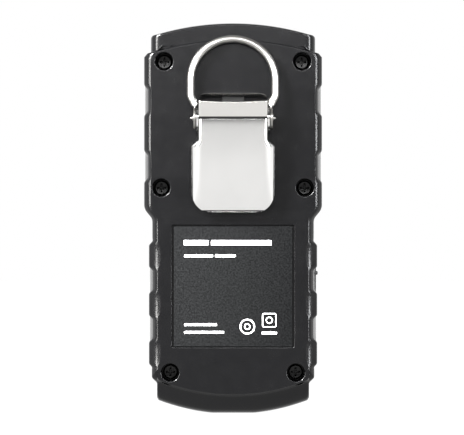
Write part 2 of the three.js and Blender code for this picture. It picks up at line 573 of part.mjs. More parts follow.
place('clip_base', clipBase(), polishedSteel);
place('clip_jaw', clipJaw(), polishedSteel);
place('clip_pin', clipPin(), polishedSteel);
place('clip_spring', clipSpring(), springSteel);
CLIP_SCREWS.forEach((y, i) => place(`clip_screw_${i + 1}`, clipScrew(y), polishedSteel));
place('d_ring', dRing(), polishedSteel);

place('display_pane', displayPane(), paneGlass);
place('display_module', displayModule(), screenGlass);
place('display_bracket', displayBracket(), sensorPlastic);
place('main_board', mainBoard(), greenBoard);
boardScrewPlaces.forEach((spot, i) => place(`board_screw_${i + 1}`, boardScrew(spot), springSteel));
sensorPlaces.forEach((spot, i) => place(`gas_sensor_${i + 1}`, gasSensor(spot), sensorPlastic));
sensorPlaces.forEach((spot, i) => place(`dust_filter_${i + 1}`, dustFilter(spot), filterFelt));
place('sensor_grille', sensorGrille(), shellPlastic);
place('battery_pack', batteryPack(), cellWrap);
place('battery_lead', batteryLead(), softRubber);
place('battery_plug', batteryPlug(), sensorPlastic);
place('key_mat', keyMat(), softRubber);
place('key_board', keyBoard(), greenBoard);
KEYS.forEach((spot) => place(spot.name, key(spot), keyRubber));
place('buzzer', buzzer(), softRubber);
place('vibration_motor', vibrationMotor(), springSteel);
place('usb_socket', usbSocket(), springSteel);
place('port_cover', portCover(), softRubber);
bothSides((side) => place(side < 0 ? 'alarm_light_left' : 'alarm_light_right', alarmLight(side), alarmLens));

// Stand the drawing up and centre its depth, from the key tops to the thumb tab, on the origin.
detector.rotation.x = Math.PI / 2;
detector.position.y = (THUMB_TIP.d - KEY.proud) / 2;

export default detector;
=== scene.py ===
import math

import bmesh
import bpy
import numpy as np
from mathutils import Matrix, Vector
from mathutils.geometry import tessellate_polygon


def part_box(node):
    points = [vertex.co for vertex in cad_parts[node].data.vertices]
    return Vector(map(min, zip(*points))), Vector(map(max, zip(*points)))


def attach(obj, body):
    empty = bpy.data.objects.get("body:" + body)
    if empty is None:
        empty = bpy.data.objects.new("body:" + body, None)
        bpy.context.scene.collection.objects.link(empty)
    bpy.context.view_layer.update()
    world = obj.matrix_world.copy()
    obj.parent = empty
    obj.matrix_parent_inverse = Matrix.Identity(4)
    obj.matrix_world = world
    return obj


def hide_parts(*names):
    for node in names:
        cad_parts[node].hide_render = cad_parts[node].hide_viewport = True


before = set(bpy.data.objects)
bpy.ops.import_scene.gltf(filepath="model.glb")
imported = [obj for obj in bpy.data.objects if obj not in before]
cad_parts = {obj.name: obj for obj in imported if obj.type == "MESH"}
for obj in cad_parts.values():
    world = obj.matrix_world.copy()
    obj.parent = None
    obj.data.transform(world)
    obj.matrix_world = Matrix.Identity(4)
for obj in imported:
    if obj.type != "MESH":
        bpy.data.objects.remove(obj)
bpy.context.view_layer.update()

# ---- Camera and studio ----
# A level camera on a long lens looks at the flat back of the instrument. Tall soft boxes stand on either side,
# a small strong one shines on the clip from the upper left and a weak one hangs in front, higher than the crown.
# A pale floor and a plain room, bright behind the instrument and dim in front of it, do the rest.
LENS = 400.0
SENSOR = 36.0
VIEW_WIDTH = 0.1756
AIM_ACROSS, AIM_LIFT = -0.0004, 0.0002
back_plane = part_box("rear_housing")[0].y
middle = (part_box("rear_housing")[0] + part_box("rear_housing")[1]) / 2

camera = bpy.data.objects.new("camera", bpy.data.cameras.new("camera"))
camera.data.lens = LENS
camera.data.sensor_width = SENSOR
camera.data.clip_start = 0.01
camera.data.clip_end = 20.0
camera.location = (AIM_ACROSS, back_plane - LENS * VIEW_WIDTH / SENSOR, middle.z + AIM_LIFT)
camera.rotation_euler = (math.pi / 2, 0.0, 0.0)
bpy.context.scene.collection.objects.link(camera)
bpy.context.scene.camera = camera
bpy.context.scene.view_settings.view_transform = "Standard"


def soft_box(name, place, size, radiance, tint=(1.0, 1.0, 1.0)):
    """A rectangular lamp that faces the instrument; its power is radiance times pi times its area."""
    lamp = bpy.data.lights.new(name, "AREA")
    lamp.shape = "RECTANGLE"
    lamp.size, lamp.size_y = size
    lamp.energy = radiance * math.pi * size[0] * size[1]
    lamp.color = tint
    box = bpy.data.objects.new(name, lamp)
    box.location = place
    aim = Vector((0.0, 0.0, middle.z)) - Vector(place)
    box.rotation_euler = aim.to_track_quat("-Z", "Y").to_euler()
    bpy.context.scene.collection.objects.link(box)


soft_box("soft_box_left", (-1.05, -0.90, 0.45), (0.30, 1.1), 54.0, (1.0, 0.99, 0.97))
soft_box("soft_box_right", (1.10, -0.90, 0.40), (0.18, 1.2), 75.0, (0.97, 0.98, 1.0))
soft_box("soft_box_key", (-0.45, -0.42, 0.50), (0.20, 0.20), 400.0)
soft_box("soft_box_top", (0.0, -0.60, 0.33), (0.5, 0.10), 30.0)

room = bpy.data.worlds.new("room")
bpy.context.scene.world = room
room.use_nodes = True
wires = room.node_tree
wires.nodes.clear()
direction = wires.nodes.new("ShaderNodeTexCoord")
parts = wires.nodes.new("ShaderNodeSeparateXYZ")
wires.links.new(direction.outputs["Generated"], parts.inputs[0])


def room_tone(axis, stops):
    """Brightness of the room along one axis of the direction looked in, which runs from -1 to 1."""
    along = wires.nodes.new("ShaderNodeMapRange")
    along.inputs["From Min"].default_value = -1.0
    wires.links.new(parts.outputs[axis], along.inputs["Value"])
    ramp = wires.nodes.new("ShaderNodeValToRGB")
    wires.links.new(along.outputs["Result"], ramp.inputs["Fac"])
    while len(ramp.color_ramp.elements) < len(stops):
        ramp.color_ramp.elements.new(0.5)
    for stop, (where, level) in zip(ramp.color_ramp.elements, stops):
        stop.position, stop.color = (where + 1) / 2, (level, level, level, 1.0)
    return ramp.outputs["Color"]


# The sockets of a Mix node that mixes colours.
MIX_LOW, MIX_HIGH, MIX_RESULT = 6, 7, 2
by_height = room_tone("Z", [(-1, 1.0), (0.0, 1.0), (0.3, 0.9), (0.6, 0.5), (1, 0.3)])
by_distance = room_tone("Y", [(-1, 0.10), (-0.75, 0.15), (-0.3, 0.65), (0.1, 1.0), (1, 1.0)])
tone = wires.nodes.new("ShaderNodeMix")
tone.data_type, tone.blend_type = "RGBA", "MULTIPLY"
tone.inputs[0].default_value = 1.0
wires.links.new(by_height, tone.inputs[MIX_LOW])
wires.links.new(by_distance, tone.inputs[MIX_HIGH])
lit = wires.nodes.new("ShaderNodeBackground")
lit.inputs["Strength"].default_value = 1.15
wires.links.new(tone.outputs[MIX_RESULT], lit.inputs["Color"])
seen = wires.nodes.new("ShaderNodeBackground")
seen.inputs["Color"].default_value = (1.0, 1.0, 1.0, 1.0)
rays = wires.nodes.new("ShaderNodeLightPath")
choice = wires.nodes.new("ShaderNodeMixShader")
wires.links.new(rays.outputs["Is Camera Ray"], choice.inputs[0])
wires.links.new(lit.outputs[0], choice.inputs[1])
wires.links.new(seen.outputs[0], choice.inputs[2])
world_end = wires.nodes.new("ShaderNodeOutputWorld")
wires.links.new(choice.outputs[0], world_end.inputs["Surface"])


# ---- Housing: rear half ----
# Injection-moulded black ABS with a fine spark-eroded grain. A raised back with chamfered edges sits on the
# half's body; its sides are notched above and carry three scalloped grip pads on each side below.
class Val:
    """A number that varies over a surface. Arithmetic on it adds the Math nodes that work it out."""

    def __init__(self, paint, socket):
        self.paint, self.socket = paint, socket

    def _math(self, operation, first, second):
        return self.paint.node("ShaderNodeMath", {"operation": operation}, {0: first, 1: second})

    def __add__(self, other):
        return self._math("ADD", self, other)

    def __sub__(self, other):
        return self._math("SUBTRACT", self, other)

    def __rsub__(self, other):
        return self._math("SUBTRACT", other, self)

    def __mul__(self, other):
        return self._math("MULTIPLY", self, other)

    def __gt__(self, other):
        return self._math("GREATER_THAN", self, other)

    def __lt__(self, other):
        return self._math("LESS_THAN", self, other)

    __radd__ = __add__
    __rmul__ = __mul__


class Paint:
    """A node material, whose patterns read Object coordinates in metres, so that they hold to their piece.

    `node` adds any node: its settings are set first, then its sockets.
    """

    def __init__(self, name, **constants):
        self.material = bpy.data.materials.new(name)
        self.material.use_nodes = True
        self.tree = self.material.node_tree
        self.shader = self.tree.nodes["Principled BSDF"]
        for socket, value in constants.items():
            self.set(socket.replace("_", " "), value)
        self.place = self.node("ShaderNodeTexCoord", {}, {}, "Object")

    def node(self, kind, settings, inputs, output=0):
        made = self.tree.nodes.new(kind)
        for key, value in settings.items():
            setattr(made, key, value)
        for key, value in inputs.items():
            self.feed(made.inputs[key], value)
        return Val(self, made.outputs[output])

    def feed(self, socket, value):
        if isinstance(value, Val):
            self.tree.links.new(value.socket, socket)
        else:
            socket.default_value = value

    def set(self, socket, value):
        self.feed(self.shader.inputs[socket], value)

    def noise(self, size, detail=2.0, stretch=None):
        """Noise whose blotches are about `size` metres across, drawn out along an axis by `stretch`."""
        place = self.place
        if stretch:
            place = self.node("ShaderNodeMapping", {}, {"Vector": place, "Scale": stretch})
        inputs = {"Vector": place, "Scale": 1.0 / size, "Detail": detail}
        return self.node("ShaderNodeTexNoise", {}, inputs, "Fac")

    def speckle(self, size):
        """Round cells about `size` metres across; 0 at their middles."""
        inputs = {"Vector": self.place, "Scale": 1.0 / size}
        return self.node("ShaderNodeTexVoronoi", {}, inputs, "Distance")

    def between(self, amount, low, high):
        """A colour that runs from `low` to `high` as `amount` goes from 0 to 1."""
        inputs = {0: amount, MIX_LOW: low, MIX_HIGH: high}
        return self.node("ShaderNodeMix", {"data_type": "RGBA"}, inputs, MIX_RESULT)

    def relief(self, height, depth, strength=1.0):
        """Bumps that stand `depth` metres high where `height` is 1."""
        bump = self.node("ShaderNodeBump", {}, {"Height": height, "Distance": depth, "Strength": strength})
        self.set("Normal", bump)

    def axis(self, name):
        """One coordinate of the surface, in metres."""
        return self.node("ShaderNodeSeparateXYZ", {}, {0: self.place}, name)


# Shapes are worked out in the drawing of the back, in millimetres: across, up, and depth from the display
# face.
MM = 0.001
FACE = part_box("front_housing")[1].y / MM


def stand(points):
    """(across, up, depth) to the frame in metres: depth runs from the display face towards -Y."""
    p = np.asarray(points, float)
    return np.stack([p[..., 0], FACE - p[..., 2], p[..., 1]], -1) * MM


class Surface:
    """Grids and flat caps gathered into one mesh, whose coincident points are then merged."""

    def __init__(self):
        self.points, self.faces, self.total = [], [], 0

    def _add(self, points, faces):
        self.points.append(points.reshape(-1, 3))
        self.faces.extend((faces + self.total).tolist())
        self.total += points.reshape(-1, 3).shape[0]

    def grid(self, points, wrap=False):
        """Point (i, j) is joined to its neighbours in squares; `wrap` closes each row on itself."""
        points = np.asarray(points, float)
        rows, columns = points.shape[:2]
        index = np.arange(rows * columns).reshape(rows, columns)
        if wrap:
            index = np.concatenate([index, index[:, :1]], 1)
        squares = np.stack([index[:-1, :-1], index[:-1, 1:], index[1:, 1:], index[1:, :-1]], -1)
        self._add(points, squares.reshape(-1, 4))

    def cap(self, outline, holes=()):
        """A flat face inside the outline, left open where the holes are."""
        loops = [np.asarray(outline, float), *[np.asarray(hole, float) for hole in holes]]
        triangles = tessellate_polygon([[Vector(p) for p in loop] for loop in loops])
        self._add(np.concatenate(loops), np.array(triangles))

    def stack(self, rings, close=(True, True)):
        """Rings of equal count joined one after another, with a flat cap on the first and the last."""
        rings = np.asarray(rings, float)
        self.grid(rings, wrap=True)
        for ring, closed in zip((rings[0], rings[-1]), close):
            if closed:
                self.cap(ring)

    def made(self, name, paint, body, slot, sharp=40.0, wall=0.0, replaces=(), turn=stand):
        """The surface as a named piece on its body: merged, faced outwards, painted, with any wall inwards."""
        mesh = bpy.data.meshes.new(name)
        mesh.from_pydata(turn(np.concatenate(self.points)).tolist(), [], self.faces)
        work = bmesh.new()
        work.from_mesh(mesh)
        bmesh.ops.remove_doubles(work, verts=work.verts, dist=2e-6)
        bmesh.ops.dissolve_degenerate(work, edges=work.edges, dist=1e-7)
        bmesh.ops.recalc_face_normals(work, faces=work.faces)
        work.to_mesh(mesh)
        work.free()
        mesh.shade_smooth()
        mesh.set_sharp_from_angle(angle=math.radians(sharp))
        piece = bpy.data.objects.new(name, mesh)
        bpy.context.scene.collection.objects.link(piece)
        mesh.materials.append(paint.material)
        if wall:
            thick = piece.modifiers.new("wall", "SOLIDIFY")
            thick.thickness = wall * MM
            thick.offset = -1.0
        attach(piece, body)
        if replaces:
            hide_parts(*replaces)
        return piece


def arc(apex, radius, across):
    """Heights of a round crown over the places `across`, highest at its middle."""
    return apex - radius + np.sqrt(radius ** 2 - np.asarray(across, float) ** 2)


def rounded(half_width, bottom, top, radius, depth, middle_x=0.0, inset=0.0, steps=8):
    """A rounded rectangle at one depth, drawn in by `inset`: four quarter circles one after another."""
    angle = np.radians(np.concatenate([np.linspace(start, start + 90, steps) for start in (-90, 0, 90, 180)]))
    r = max(radius - inset, 0.05)
    side = np.repeat([1, 1, -1, -1], steps) * (half_width - inset - r)
    height = np.repeat([-1, 1, 1, -1], steps) * ((top - bottom) / 2 - inset - r)
    x = middle_x + side + r * np.cos(angle)
    y = (top + bottom) / 2 + height + r * np.sin(angle)
    return np.stack([x, y, np.full_like(x, depth)], -1)


def circle(x, y, radius, depth, sides=48):
    """A circle facing along the depth."""
    angle = np.linspace(0, 2 * np.pi, sides, endpoint=False)
    round_x, round_y = x + radius * np.cos(angle), y + radius * np.sin(angle)
    return np.stack([round_x, round_y, np.full(sides, float(depth))], -1)


def mirrored(half):
    """A closed outline from its right half, which runs from the foot's middle to the crown's middle."""
    return np.concatenate([half, half[-2:0:-1] * [-1, 1]])


def at_depth(outline, depth):
    """A flat outline given its depth, one number or one for each point."""
    return np.column_stack([outline, np.broadcast_to(depth, len(outline))])


# Depths of the flat back and of the two halves' edges at the seam, then the round crown and the foot.
BACK = 34.0
REAR_SEAM, FRONT_SEAM = 18.06, 17.94
CROWN_RADIUS = 102.0
FOOT_RADIUS, PLATEAU_FOOT_RADIUS = 80.0, 75.0
STANDING_HALF = 8.0

# Half widths: at the foot's corners, the ledge over them, the recesses and pads, below and above the waist.
CORNER_HALF, LEDGE_HALF, RECESS_HALF, PAD_HALF = 28.8, 30.8, 30.5, 31.86
LOWER_HALF, UPPER_HALF = 30.6, 33.7
CREASE_LOWER, CREASE_UPPER = 28.75, 31.45
WAIST_FOOT = 66.0
NOTCH_SINK, NOTCH_SLOPE = 1.3, 1.4

# Points along each stretch of a half outline: foot arc, corner, side, shoulder, crown arc.
FOOT_COUNT, CORNER_COUNT, SIDE_COUNT, SHOULDER_COUNT, CROWN_COUNT = 34, 6, 360, 8, 38
SIDE_LOW, SIDE_HIGH = 5.6, 134.9
side_heights = np.linspace(SIDE_LOW, SIDE_HIGH, SIDE_COUNT)
PADS = [(18.4, 27.3), (36.8, 45.7), (55.2, 64.1)]
NOTCHES = [(87.6, 99.3), (112.8, 124.2)]

plastic = Paint("moulded_black_plastic", Specular_IOR_Level=0.26)
mottle = plastic.noise(0.004, 3.0)
grain = plastic.noise(0.00035, 3.0)
plastic.set("Base Color", plastic.between(mottle, (0.0006, 0.0006, 0.0008, 1), (0.0010, 0.0010, 0.0012, 1)))
plastic.set("Roughness", 0.19 + 0.08 * grain + 0.05 * mottle)
plastic.relief(grain, 0.00003, 0.35)


def smooth(values, reach=3):
    """Corners of a line rounded by a short running mean, with its ends kept."""
    padded = np.concatenate([np.full(reach, values[0]), values, np.full(reach, values[-1])])
    kernel = np.hanning(2 * reach + 3)[1:-1]
    return np.convolve(padded, kernel / kernel.sum(), "valid")


def waist_line(lower, upper, heights):
    """A side that leans out across the waist from the lower half width to the upper one."""
    lean = (upper - lower) / 3.0
    return np.interp(heights, [WAIST_FOOT, 72.6, 73.9, 76.8, 78.3],
                     [lower, lower, lower + 0.2 * lean, upper - 0.5 * lean, upper])


def notch(heights, low, high):
    """1 over a notch and 0 outside it, with a slope at each end."""
    return np.interp(heights, [low, low + NOTCH_SLOPE, high - NOTCH_SLOPE, high], [0, 1, 1, 0])


def grip_side():
    """Half width of the rear half up its side: pads and recesses below, the waist, then the two notches."""
    z = side_heights
    points = [(SIDE_LOW, CORNER_HALF), (11.5, CORNER_HALF), (13.4, LEDGE_HALF), (17.2, LEDGE_HALF)]
    for low, high in PADS:
        points += [(low - 0.8, RECESS_HALF), (low + 0.1, PAD_HALF)]
        points += [(high - 0.1, PAD_HALF), (high + 0.8, RECESS_HALF)]
    heights, widths = np.array(points).T
    line = np.interp(z, heights, widths)
    line = np.where(z > WAIST_FOOT, waist_line(LOWER_HALF, UPPER_HALF, z), line)
    for low, high in NOTCHES:
        line -= NOTCH_SINK * notch(z, low, high)
    return smooth(line, 2)


def plain_side():
    """Half width of the front half's widest line, without pads or notches."""
    z = side_heights
    line = np.interp(z, [SIDE_LOW, 11.5, 13.4, 16.8, 17.8, 64.3, 65.3],
                     [CORNER_HALF, CORNER_HALF, LEDGE_HALF, LEDGE_HALF, PAD_HALF, PAD_HALF, LOWER_HALF])
    return smooth(np.where(z > WAIST_FOOT, waist_line(LOWER_HALF, UPPER_HALF, z), line), 2)


def crease_side():
    """Half width of the crease between the flat back and its chamfer; each pad cuts a lens out of it."""
    z = side_heights
    line = np.where(z > WAIST_FOOT, waist_line(CREASE_LOWER, CREASE_UPPER, z), CREASE_LOWER)
    for low, high in PADS:
        reach = (z - (low + high) / 2) / ((high - low) / 2 - 0.1)
        line -= 0.95 * np.sqrt(np.clip(1 - np.abs(reach) ** 2.6, 0, 1))
    for low, high in NOTCHES:
        line -= 0.25 * notch(z, low, high)
    return smooth(line, 2)


def along(corner, count):
    """`count` points spaced evenly along a line of corners, without its two ends."""
    corner = np.array(corner, float)
    run = np.concatenate([[0], np.cumsum(np.hypot(*np.diff(corner, axis=0).T))])
    at = np.linspace(0, run[-1], count + 2)[1:-1]
    return np.column_stack([np.interp(at, run, corner[:, 0]), np.interp(at, run, corner[:, 1])])


def outline(foot, side, heights, shoulder, crown_apex, crown_half, shoulder_count=SHOULDER_COUNT):
    """An outline from its right half: a foot arc, a corner, the side, the shoulder's corners and a crown arc.

    `foot` is the foot's half width and the function that gives its heights.
    """
    foot_half, foot_heights = foot
    foot_x = np.linspace(0, foot_half, FOOT_COUNT)
    lower = np.column_stack([foot_x, foot_heights(foot_x)])
    flank = np.column_stack([side, heights])
    corner = along([lower[-1], (flank[0, 0] - 0.35, lower[-1, 1] + 0.4), flank[0]], CORNER_COUNT)
    top_x = np.linspace(crown_half, 0, CROWN_COUNT)
    top = np.column_stack([top_x, arc(crown_apex, CROWN_RADIUS, top_x)])
    neck = along([flank[-1], *shoulder, top[0]], shoulder_count)
    return mirrored(np.concatenate([lower, corner, flank, neck, top]))


def foot_line(x):
    """The foot's arc, cut flat across the middle where the instrument stands."""
    flat = arc(0, FOOT_RADIUS, STANDING_HALF)
    return np.maximum(flat - arc(0, FOOT_RADIUS, x), 0.0)


def plateau_foot(x):
    """The lower edge of the raised back, an arc of its own above the foot."""
    return 7.3 - arc(0, PLATEAU_FOOT_RADIUS, x)


crease_heights = np.interp(side_heights, [SIDE_LOW, 18.0, 130.0, SIDE_HIGH], [13.7, 18.0, 130.0, 134.2])
rear_edge = outline((28.3, foot_line), grip_side(), side_heights, [(32.5, 136.4)], 141.6, 31.4)
crease = outline((28.0, plateau_foot), crease_side(), crease_heights, [(30.9, 135.6)], 141.0, 30.1)

# How far the skirt has come in from the edge to the crease, and its depth, ring by ring: at the sides, along
# the foot, and along the crown, where it only has to dip into the top band.
SIDE_RINGS = [(.03, REAR_SEAM), (0, 18.25), (0, 30.7), (.05, 31.35), (.16, 31.8), (.46, 32.75), (.74, 33.55),
              (.87, 33.69), (.99, 33.83), (1.11, 33.98), (1.19, BACK)]
FOOT_RINGS = [(.03, REAR_SEAM), (0, 18.25), (0, 25.2), (.02, 27.4), (.08, 28.9), (.2, 30.2), (.52, 31.4),
              (.86, 32.3), (.91, 32.9), (1.0, BACK), (1.03, BACK)]
CROWN_RINGS = [(0, REAR_SEAM), (0, 24), (0, 30), (0, 31.5), (0, 32.4), (.1, 32.9), (.4, 33.4), (.75, 33.75),
               (.95, 33.95), (1.1, BACK), (1.22, BACK)]
side_start = FOOT_COUNT + CORNER_COUNT
side_end = side_start + SIDE_COUNT
half_steps = np.arange(side_end + SHOULDER_COUNT + CROWN_COUNT)
foot_share = np.interp(half_steps, [FOOT_COUNT, side_start + 8, side_start + 22], [1, 1, 0])
crown_share = np.interp(half_steps, [side_end, side_end + SHOULDER_COUNT], [0, 1])


def whole(half):
    """A value for each point of a half outline, carried to the closed outline."""
    return np.concatenate([half, half[-2:0:-1]])


def skirt(edge, inner):
    """Rings from the parting line up to the flat back: edge plus a share of the way to the inner outline."""
    foot, crown = whole(foot_share)[None, :], whole(crown_share)[None, :]
    tables = [np.array(t, float) for t in (SIDE_RINGS, FOOT_RINGS, CROWN_RINGS)]
    share, depth = [tables[0][:, k, None] * (1 - foot - crown) + tables[1][:, k, None] * foot
                    + tables[2][:, k, None] * crown for k in (0, 1)]
    flat = edge[None] + (inner - edge)[None] * share[..., None]
    return np.concatenate([flat, depth[..., None]], -1)


SCREW_SPOTS = [(sign * x, y) for x, y in ((26.1, 133.3), (27.2, 85.5), (23.8, 15.5)) for sign in (-1, 1)]
COUNTERBORE = [(3.74, BACK), (3.64, BACK), (3.52, 33.93), (3.43, 33.8), (3.38, 33.5), (3.38, 28),
               (3.38, 21.4), (3.2, 21), (1.8, 21), (1.8, 19.5)]
LABEL_POCKET = [(-0.25, BACK), (-0.12, BACK), (0.0, 33.9), (0.05, 33.6), (0.05, 33.2), (0.1, 33.1)]
label_low, label_high = [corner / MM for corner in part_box("rear_label")]


def pocket_ring(inset, depth):
    """The label's pocket at one depth: the label's own rectangle with a gap round it, drawn in by `inset`."""
    low, high = label_low.z - 0.4, label_high.z + 0.65
    return rounded(label_high.x + 0.85, low, high, 0.6, depth, inset=inset, steps=4)


rear = Surface()
rings = skirt(rear_edge, crease)
rear.grid(rings, wrap=True)
bores = [[circle(x, y, radius, depth) for radius, depth in COUNTERBORE] for x, y in SCREW_SPOTS]
pocket = [pocket_ring(inset, depth) for inset, depth in LABEL_POCKET]
rear.cap(rings[-1], [bore[0] for bore in bores] + [pocket[0]])
for bore in bores:
    rear.grid(bore, wrap=True)
rear.stack(pocket, close=(False, True))
rear.made("rear_shell", plastic, "case", "shell_plastic", sharp=50, wall=1.5, replaces=["rear_housing"])

# The band round the top is one step lower than the raised back and rounds off at its two ends.
BAND_FACE = 29.0
BAND_RINGS = [(.03, REAR_SEAM), (0, 18.25), (0, 24.6), (.04, 26.0), (.16, 27.3), (.34, 28.2), (.56, 28.75),
              (.8, 28.96), (1, BAND_FACE), (1.04, BAND_FACE)]


def band_outline(half_width, apex, corner):
    """The top band from the foot of its side, hidden under the raised back, round its corner to the crown."""
    top_x = np.linspace(half_width - corner, 0, CROWN_COUNT)
    top = np.column_stack([top_x, arc(apex, CROWN_RADIUS, top_x)])
    turn = np.radians(np.linspace(0, 80, 9))[:-1]
    bend = np.column_stack([half_width - corner + corner * np.cos(turn),
                            top[0, 1] - corner * (1 - np.sin(turn)) * 0.98])
    base_x = np.linspace(0, half_width - 0.5, 40)
    base = np.column_stack([base_x, np.interp(base_x, [28.6, 29.9], [138.0, 134.5])])
    side = np.column_stack([np.full(12, half_width), np.linspace(base[-1, 1], bend[0, 1] - 0.3, 12)])
    return mirrored(np.concatenate([base, side, bend, top]))


outer_band, inner_band = band_outline(31.2, 148.0, 1.6), band_outline(26.9, 147.2, 0.9)
band = Surface()
band.stack([at_depth(outer_band + (inner_band - outer_band) * share, depth) for share, depth in BAND_RINGS],
           close=(False, True))
band.made("top_band", plastic, "case", "shell_plastic", sharp=50, wall=1.5)


# ---- Housing: front half ----
# The same black plastic. It is full width at the display face's rim and draws in slightly towards the parting
# line, so a thin sliver of it shows past the pads' recesses and the notches of the rear half.
DISPLAY_POCKET = (24.3, 53.7, 97.3, 2.5)
GRILLE_POCKET = (24.9, 100.1, 138.7, 6.0)
KEY_SPOTS = {"key_left": -17.0, "key_power": 0.0, "key_right": 17.0}
SENSOR_SPOTS = [(sign * 12.2, y) for y in (108.6, 130.0) for sign in (-1, 1)]

# Ring by ring: the share of the way out from the parting line to the rim, the share of the rounding in to the
# display face, and the depth.
FRONT_RINGS = [(0, .03, FRONT_SEAM), (0, 0, 17.75), (.22, 0, 16.4), (.55, 0, 13.65), (.57, 0, 13.4),
               (.85, 0, 9.5), (1, 0, 5.6), (1, 0, 5.35), (1, 0, 3.1), (1, .06, 1.9), (1, .19, .95),
               (1, .4, .32), (1, .68, .05), (1, 1, 0), (1, 1.05, 0)]
band_neck = [(32.4, 136.5), (31.2, 136.9), (31.2, 141.9), (30.6, 142.9)]
FRONT_SHOULDER_COUNT = 30
parting_edge, front_edge = [outline((28.3, foot_line), side, side_heights, band_neck, 148.0, 29.7,
                                    FRONT_SHOULDER_COUNT) for side in (grip_side(), plain_side())]
face_heights = np.interp(side_heights, [SIDE_LOW, 16.0, 130.0, SIDE_HIGH], [8.2, 16.4, 130.0, 133.4])
face_edge = outline((25.6, lambda x: foot_line(x) + 2.7), plain_side() - 2.8, face_heights,
                    [(29.8, 135.2), (28.5, 136.6), (28.4, 140.3)], 145.2, 27.4, FRONT_SHOULDER_COUNT)


def alarm_corners(side, depth, grow=0.0):
    """The alarm lights' sloping four-sided outline beside the crown, with its corners drawn in."""
    corners = np.array([(9 - grow, 141.6 - grow), (22 + grow, 139.4 - grow), (22 + grow, 141.4 + grow),
                        (9 - grow, 143.6 + grow)])
    ends = [corners + (np.roll(corners, shift, 0) - corners) * 0.12 for shift in (1, -1)]
    points = np.stack(ends, 1).reshape(-1, 2) * [side, 1]
    return at_depth(points, depth)


front = Surface()
widening, rounding = front_edge - parting_edge, face_edge - front_edge
rings = np.stack([at_depth(parting_edge + widening * widen + rounding * round_in, depth)
                  for widen, round_in, depth in FRONT_RINGS])

# The pocket for the socket's flap: points of the side inside its rectangle are sunk. Its floor stays closed.
FLAP_UP, FLAP_DEPTH = 47.0, 9.5
FLAP_POCKET_HALF = (8.2, 3.95)
FLAP_POCKET_SINK = 1.9
in_pocket = (rings[..., 0] > 25) & (np.abs(rings[..., 1] - FLAP_UP) < FLAP_POCKET_HALF[0])
in_pocket &= np.abs(rings[..., 2] - FLAP_DEPTH) < FLAP_POCKET_HALF[1]
rings[..., 0] -= FLAP_POCKET_SINK * in_pocket
front.grid(rings, wrap=True)
openings = []


def opened(walls):
    """An opening's wall, ring by ring from the face inwards; the face is left open inside its first ring."""
    openings.append(walls[0])
    front.grid(walls, wrap=True)


POCKET_FLOOR = 1.5
POCKET_WALL = [(-0.3, 0), (-0.15, 0), (0, 0.15), (0, POCKET_FLOOR)]
KEY_WALL = [(-.4, 0), (-.25, 0), (0, .25), (0, .9)]
SOUND_WALL = [(-.12, 0), (-.06, 0), (0, .12), (0, .5)]
LIGHT_WALL = [(.5, 0), (.4, 0), (.3, .15), (.3, .6)]
for shape in (DISPLAY_POCKET, GRILLE_POCKET):
    opened([rounded(*shape, depth, inset=inset) for inset, depth in POCKET_WALL])
front.cap(rounded(*DISPLAY_POCKET, POCKET_FLOOR), [rounded(20.5, 58, 93, 1.0, POCKET_FLOOR)])
front.cap(rounded(*GRILLE_POCKET, POCKET_FLOOR), [circle(x, y, 6.2, POCKET_FLOOR) for x, y in SENSOR_SPOTS])
for x in KEY_SPOTS.values():
    opened([rounded(5.9, 35.5, 44.5, 2.2, depth, x, inset) for inset, depth in KEY_WALL])
for x in (-4, -2, 0, 2, 4):
    opened([rounded(.5, 17, 23, .5, depth, x, inset) for inset, depth in SOUND_WALL])
for side in (-1, 1):
    opened([alarm_corners(side, depth, grow) for grow, depth in LIGHT_WALL])
front.cap(rings[-1], openings)
front.made("front_shell", plastic, "case", "shell_plastic", sharp=50, wall=1.1, replaces=["front_housing"])

# ---- Rubber parts ----
# The flap over the charging socket is moulded from matt black rubber, as are the seal and the membrane under
# the keys further on. It is one piece with its plug, its raised bar and the lip that it turns on.
def grey(level, warmth=0.0):
    """A neutral colour of one level, with its red raised and its blue lowered by `warmth`."""
    return (level * (1 + warmth), level, level * (1 - warmth), 1.0)


rubber = Paint("matt_black_rubber")
dust = rubber.noise(0.0012, 4.0)
rubber.set("Base Color", rubber.between(dust, grey(0.010), grey(0.022)))
rubber.set("Roughness", 0.62 + 0.16 * dust)
rubber.relief(dust, 0.00004, 0.4)

# The flap turns on its lower edge; a raised bar near its top is what a fingernail lifts.
flap_low, flap_high = [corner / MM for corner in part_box("port_cover")]
FLAP_FACE = 31.6
flap_middle = (flap_low + flap_high) / 2


def on_flank(points):
    """(along the depth, up, outwards) in millimetres on the side that carries the socket."""
    p = np.asarray(points, float)
    return np.stack([p[..., 2], p[..., 0], p[..., 1]], -1) * MM


def flank_plate(surface, half, low, high, radius, steps, middle):
    """A rounded plate on that side, through the steps (drawn in, outwards)."""
    surface.stack([rounded(half, low, high, radius, out, middle, inset) for inset, out in steps])


flap = Surface()
flank_plate(flap, 3.8, 39, 55, 1.4, [(.3, 30.1), (0, 30.3), (0, 31.2), (.12, 31.48), (.35, FLAP_FACE)],
            flap_middle.y)
flank_plate(flap, 1.3, 43.6, 50.9, 0.6, [(.3, 29.1), (0, 29.4), (0, 30.3)], flap_middle.y)
flank_plate(flap, 2.4, 52.3, 53.7, 0.7, [(0, 31.4), (0, 32.1), (.1, 32.3), (.3, 32.4)], flap_middle.y)
flank_plate(flap, 2.9, 40.6, 50.6, 1.0, [(0, 31.5), (0, 31.62), (.12, 31.7)], flap_middle.y)
flap.made("port_flap", rubber, "cover", "soft_rubber", sharp=45, replaces=["port_cover"], turn=on_flank)

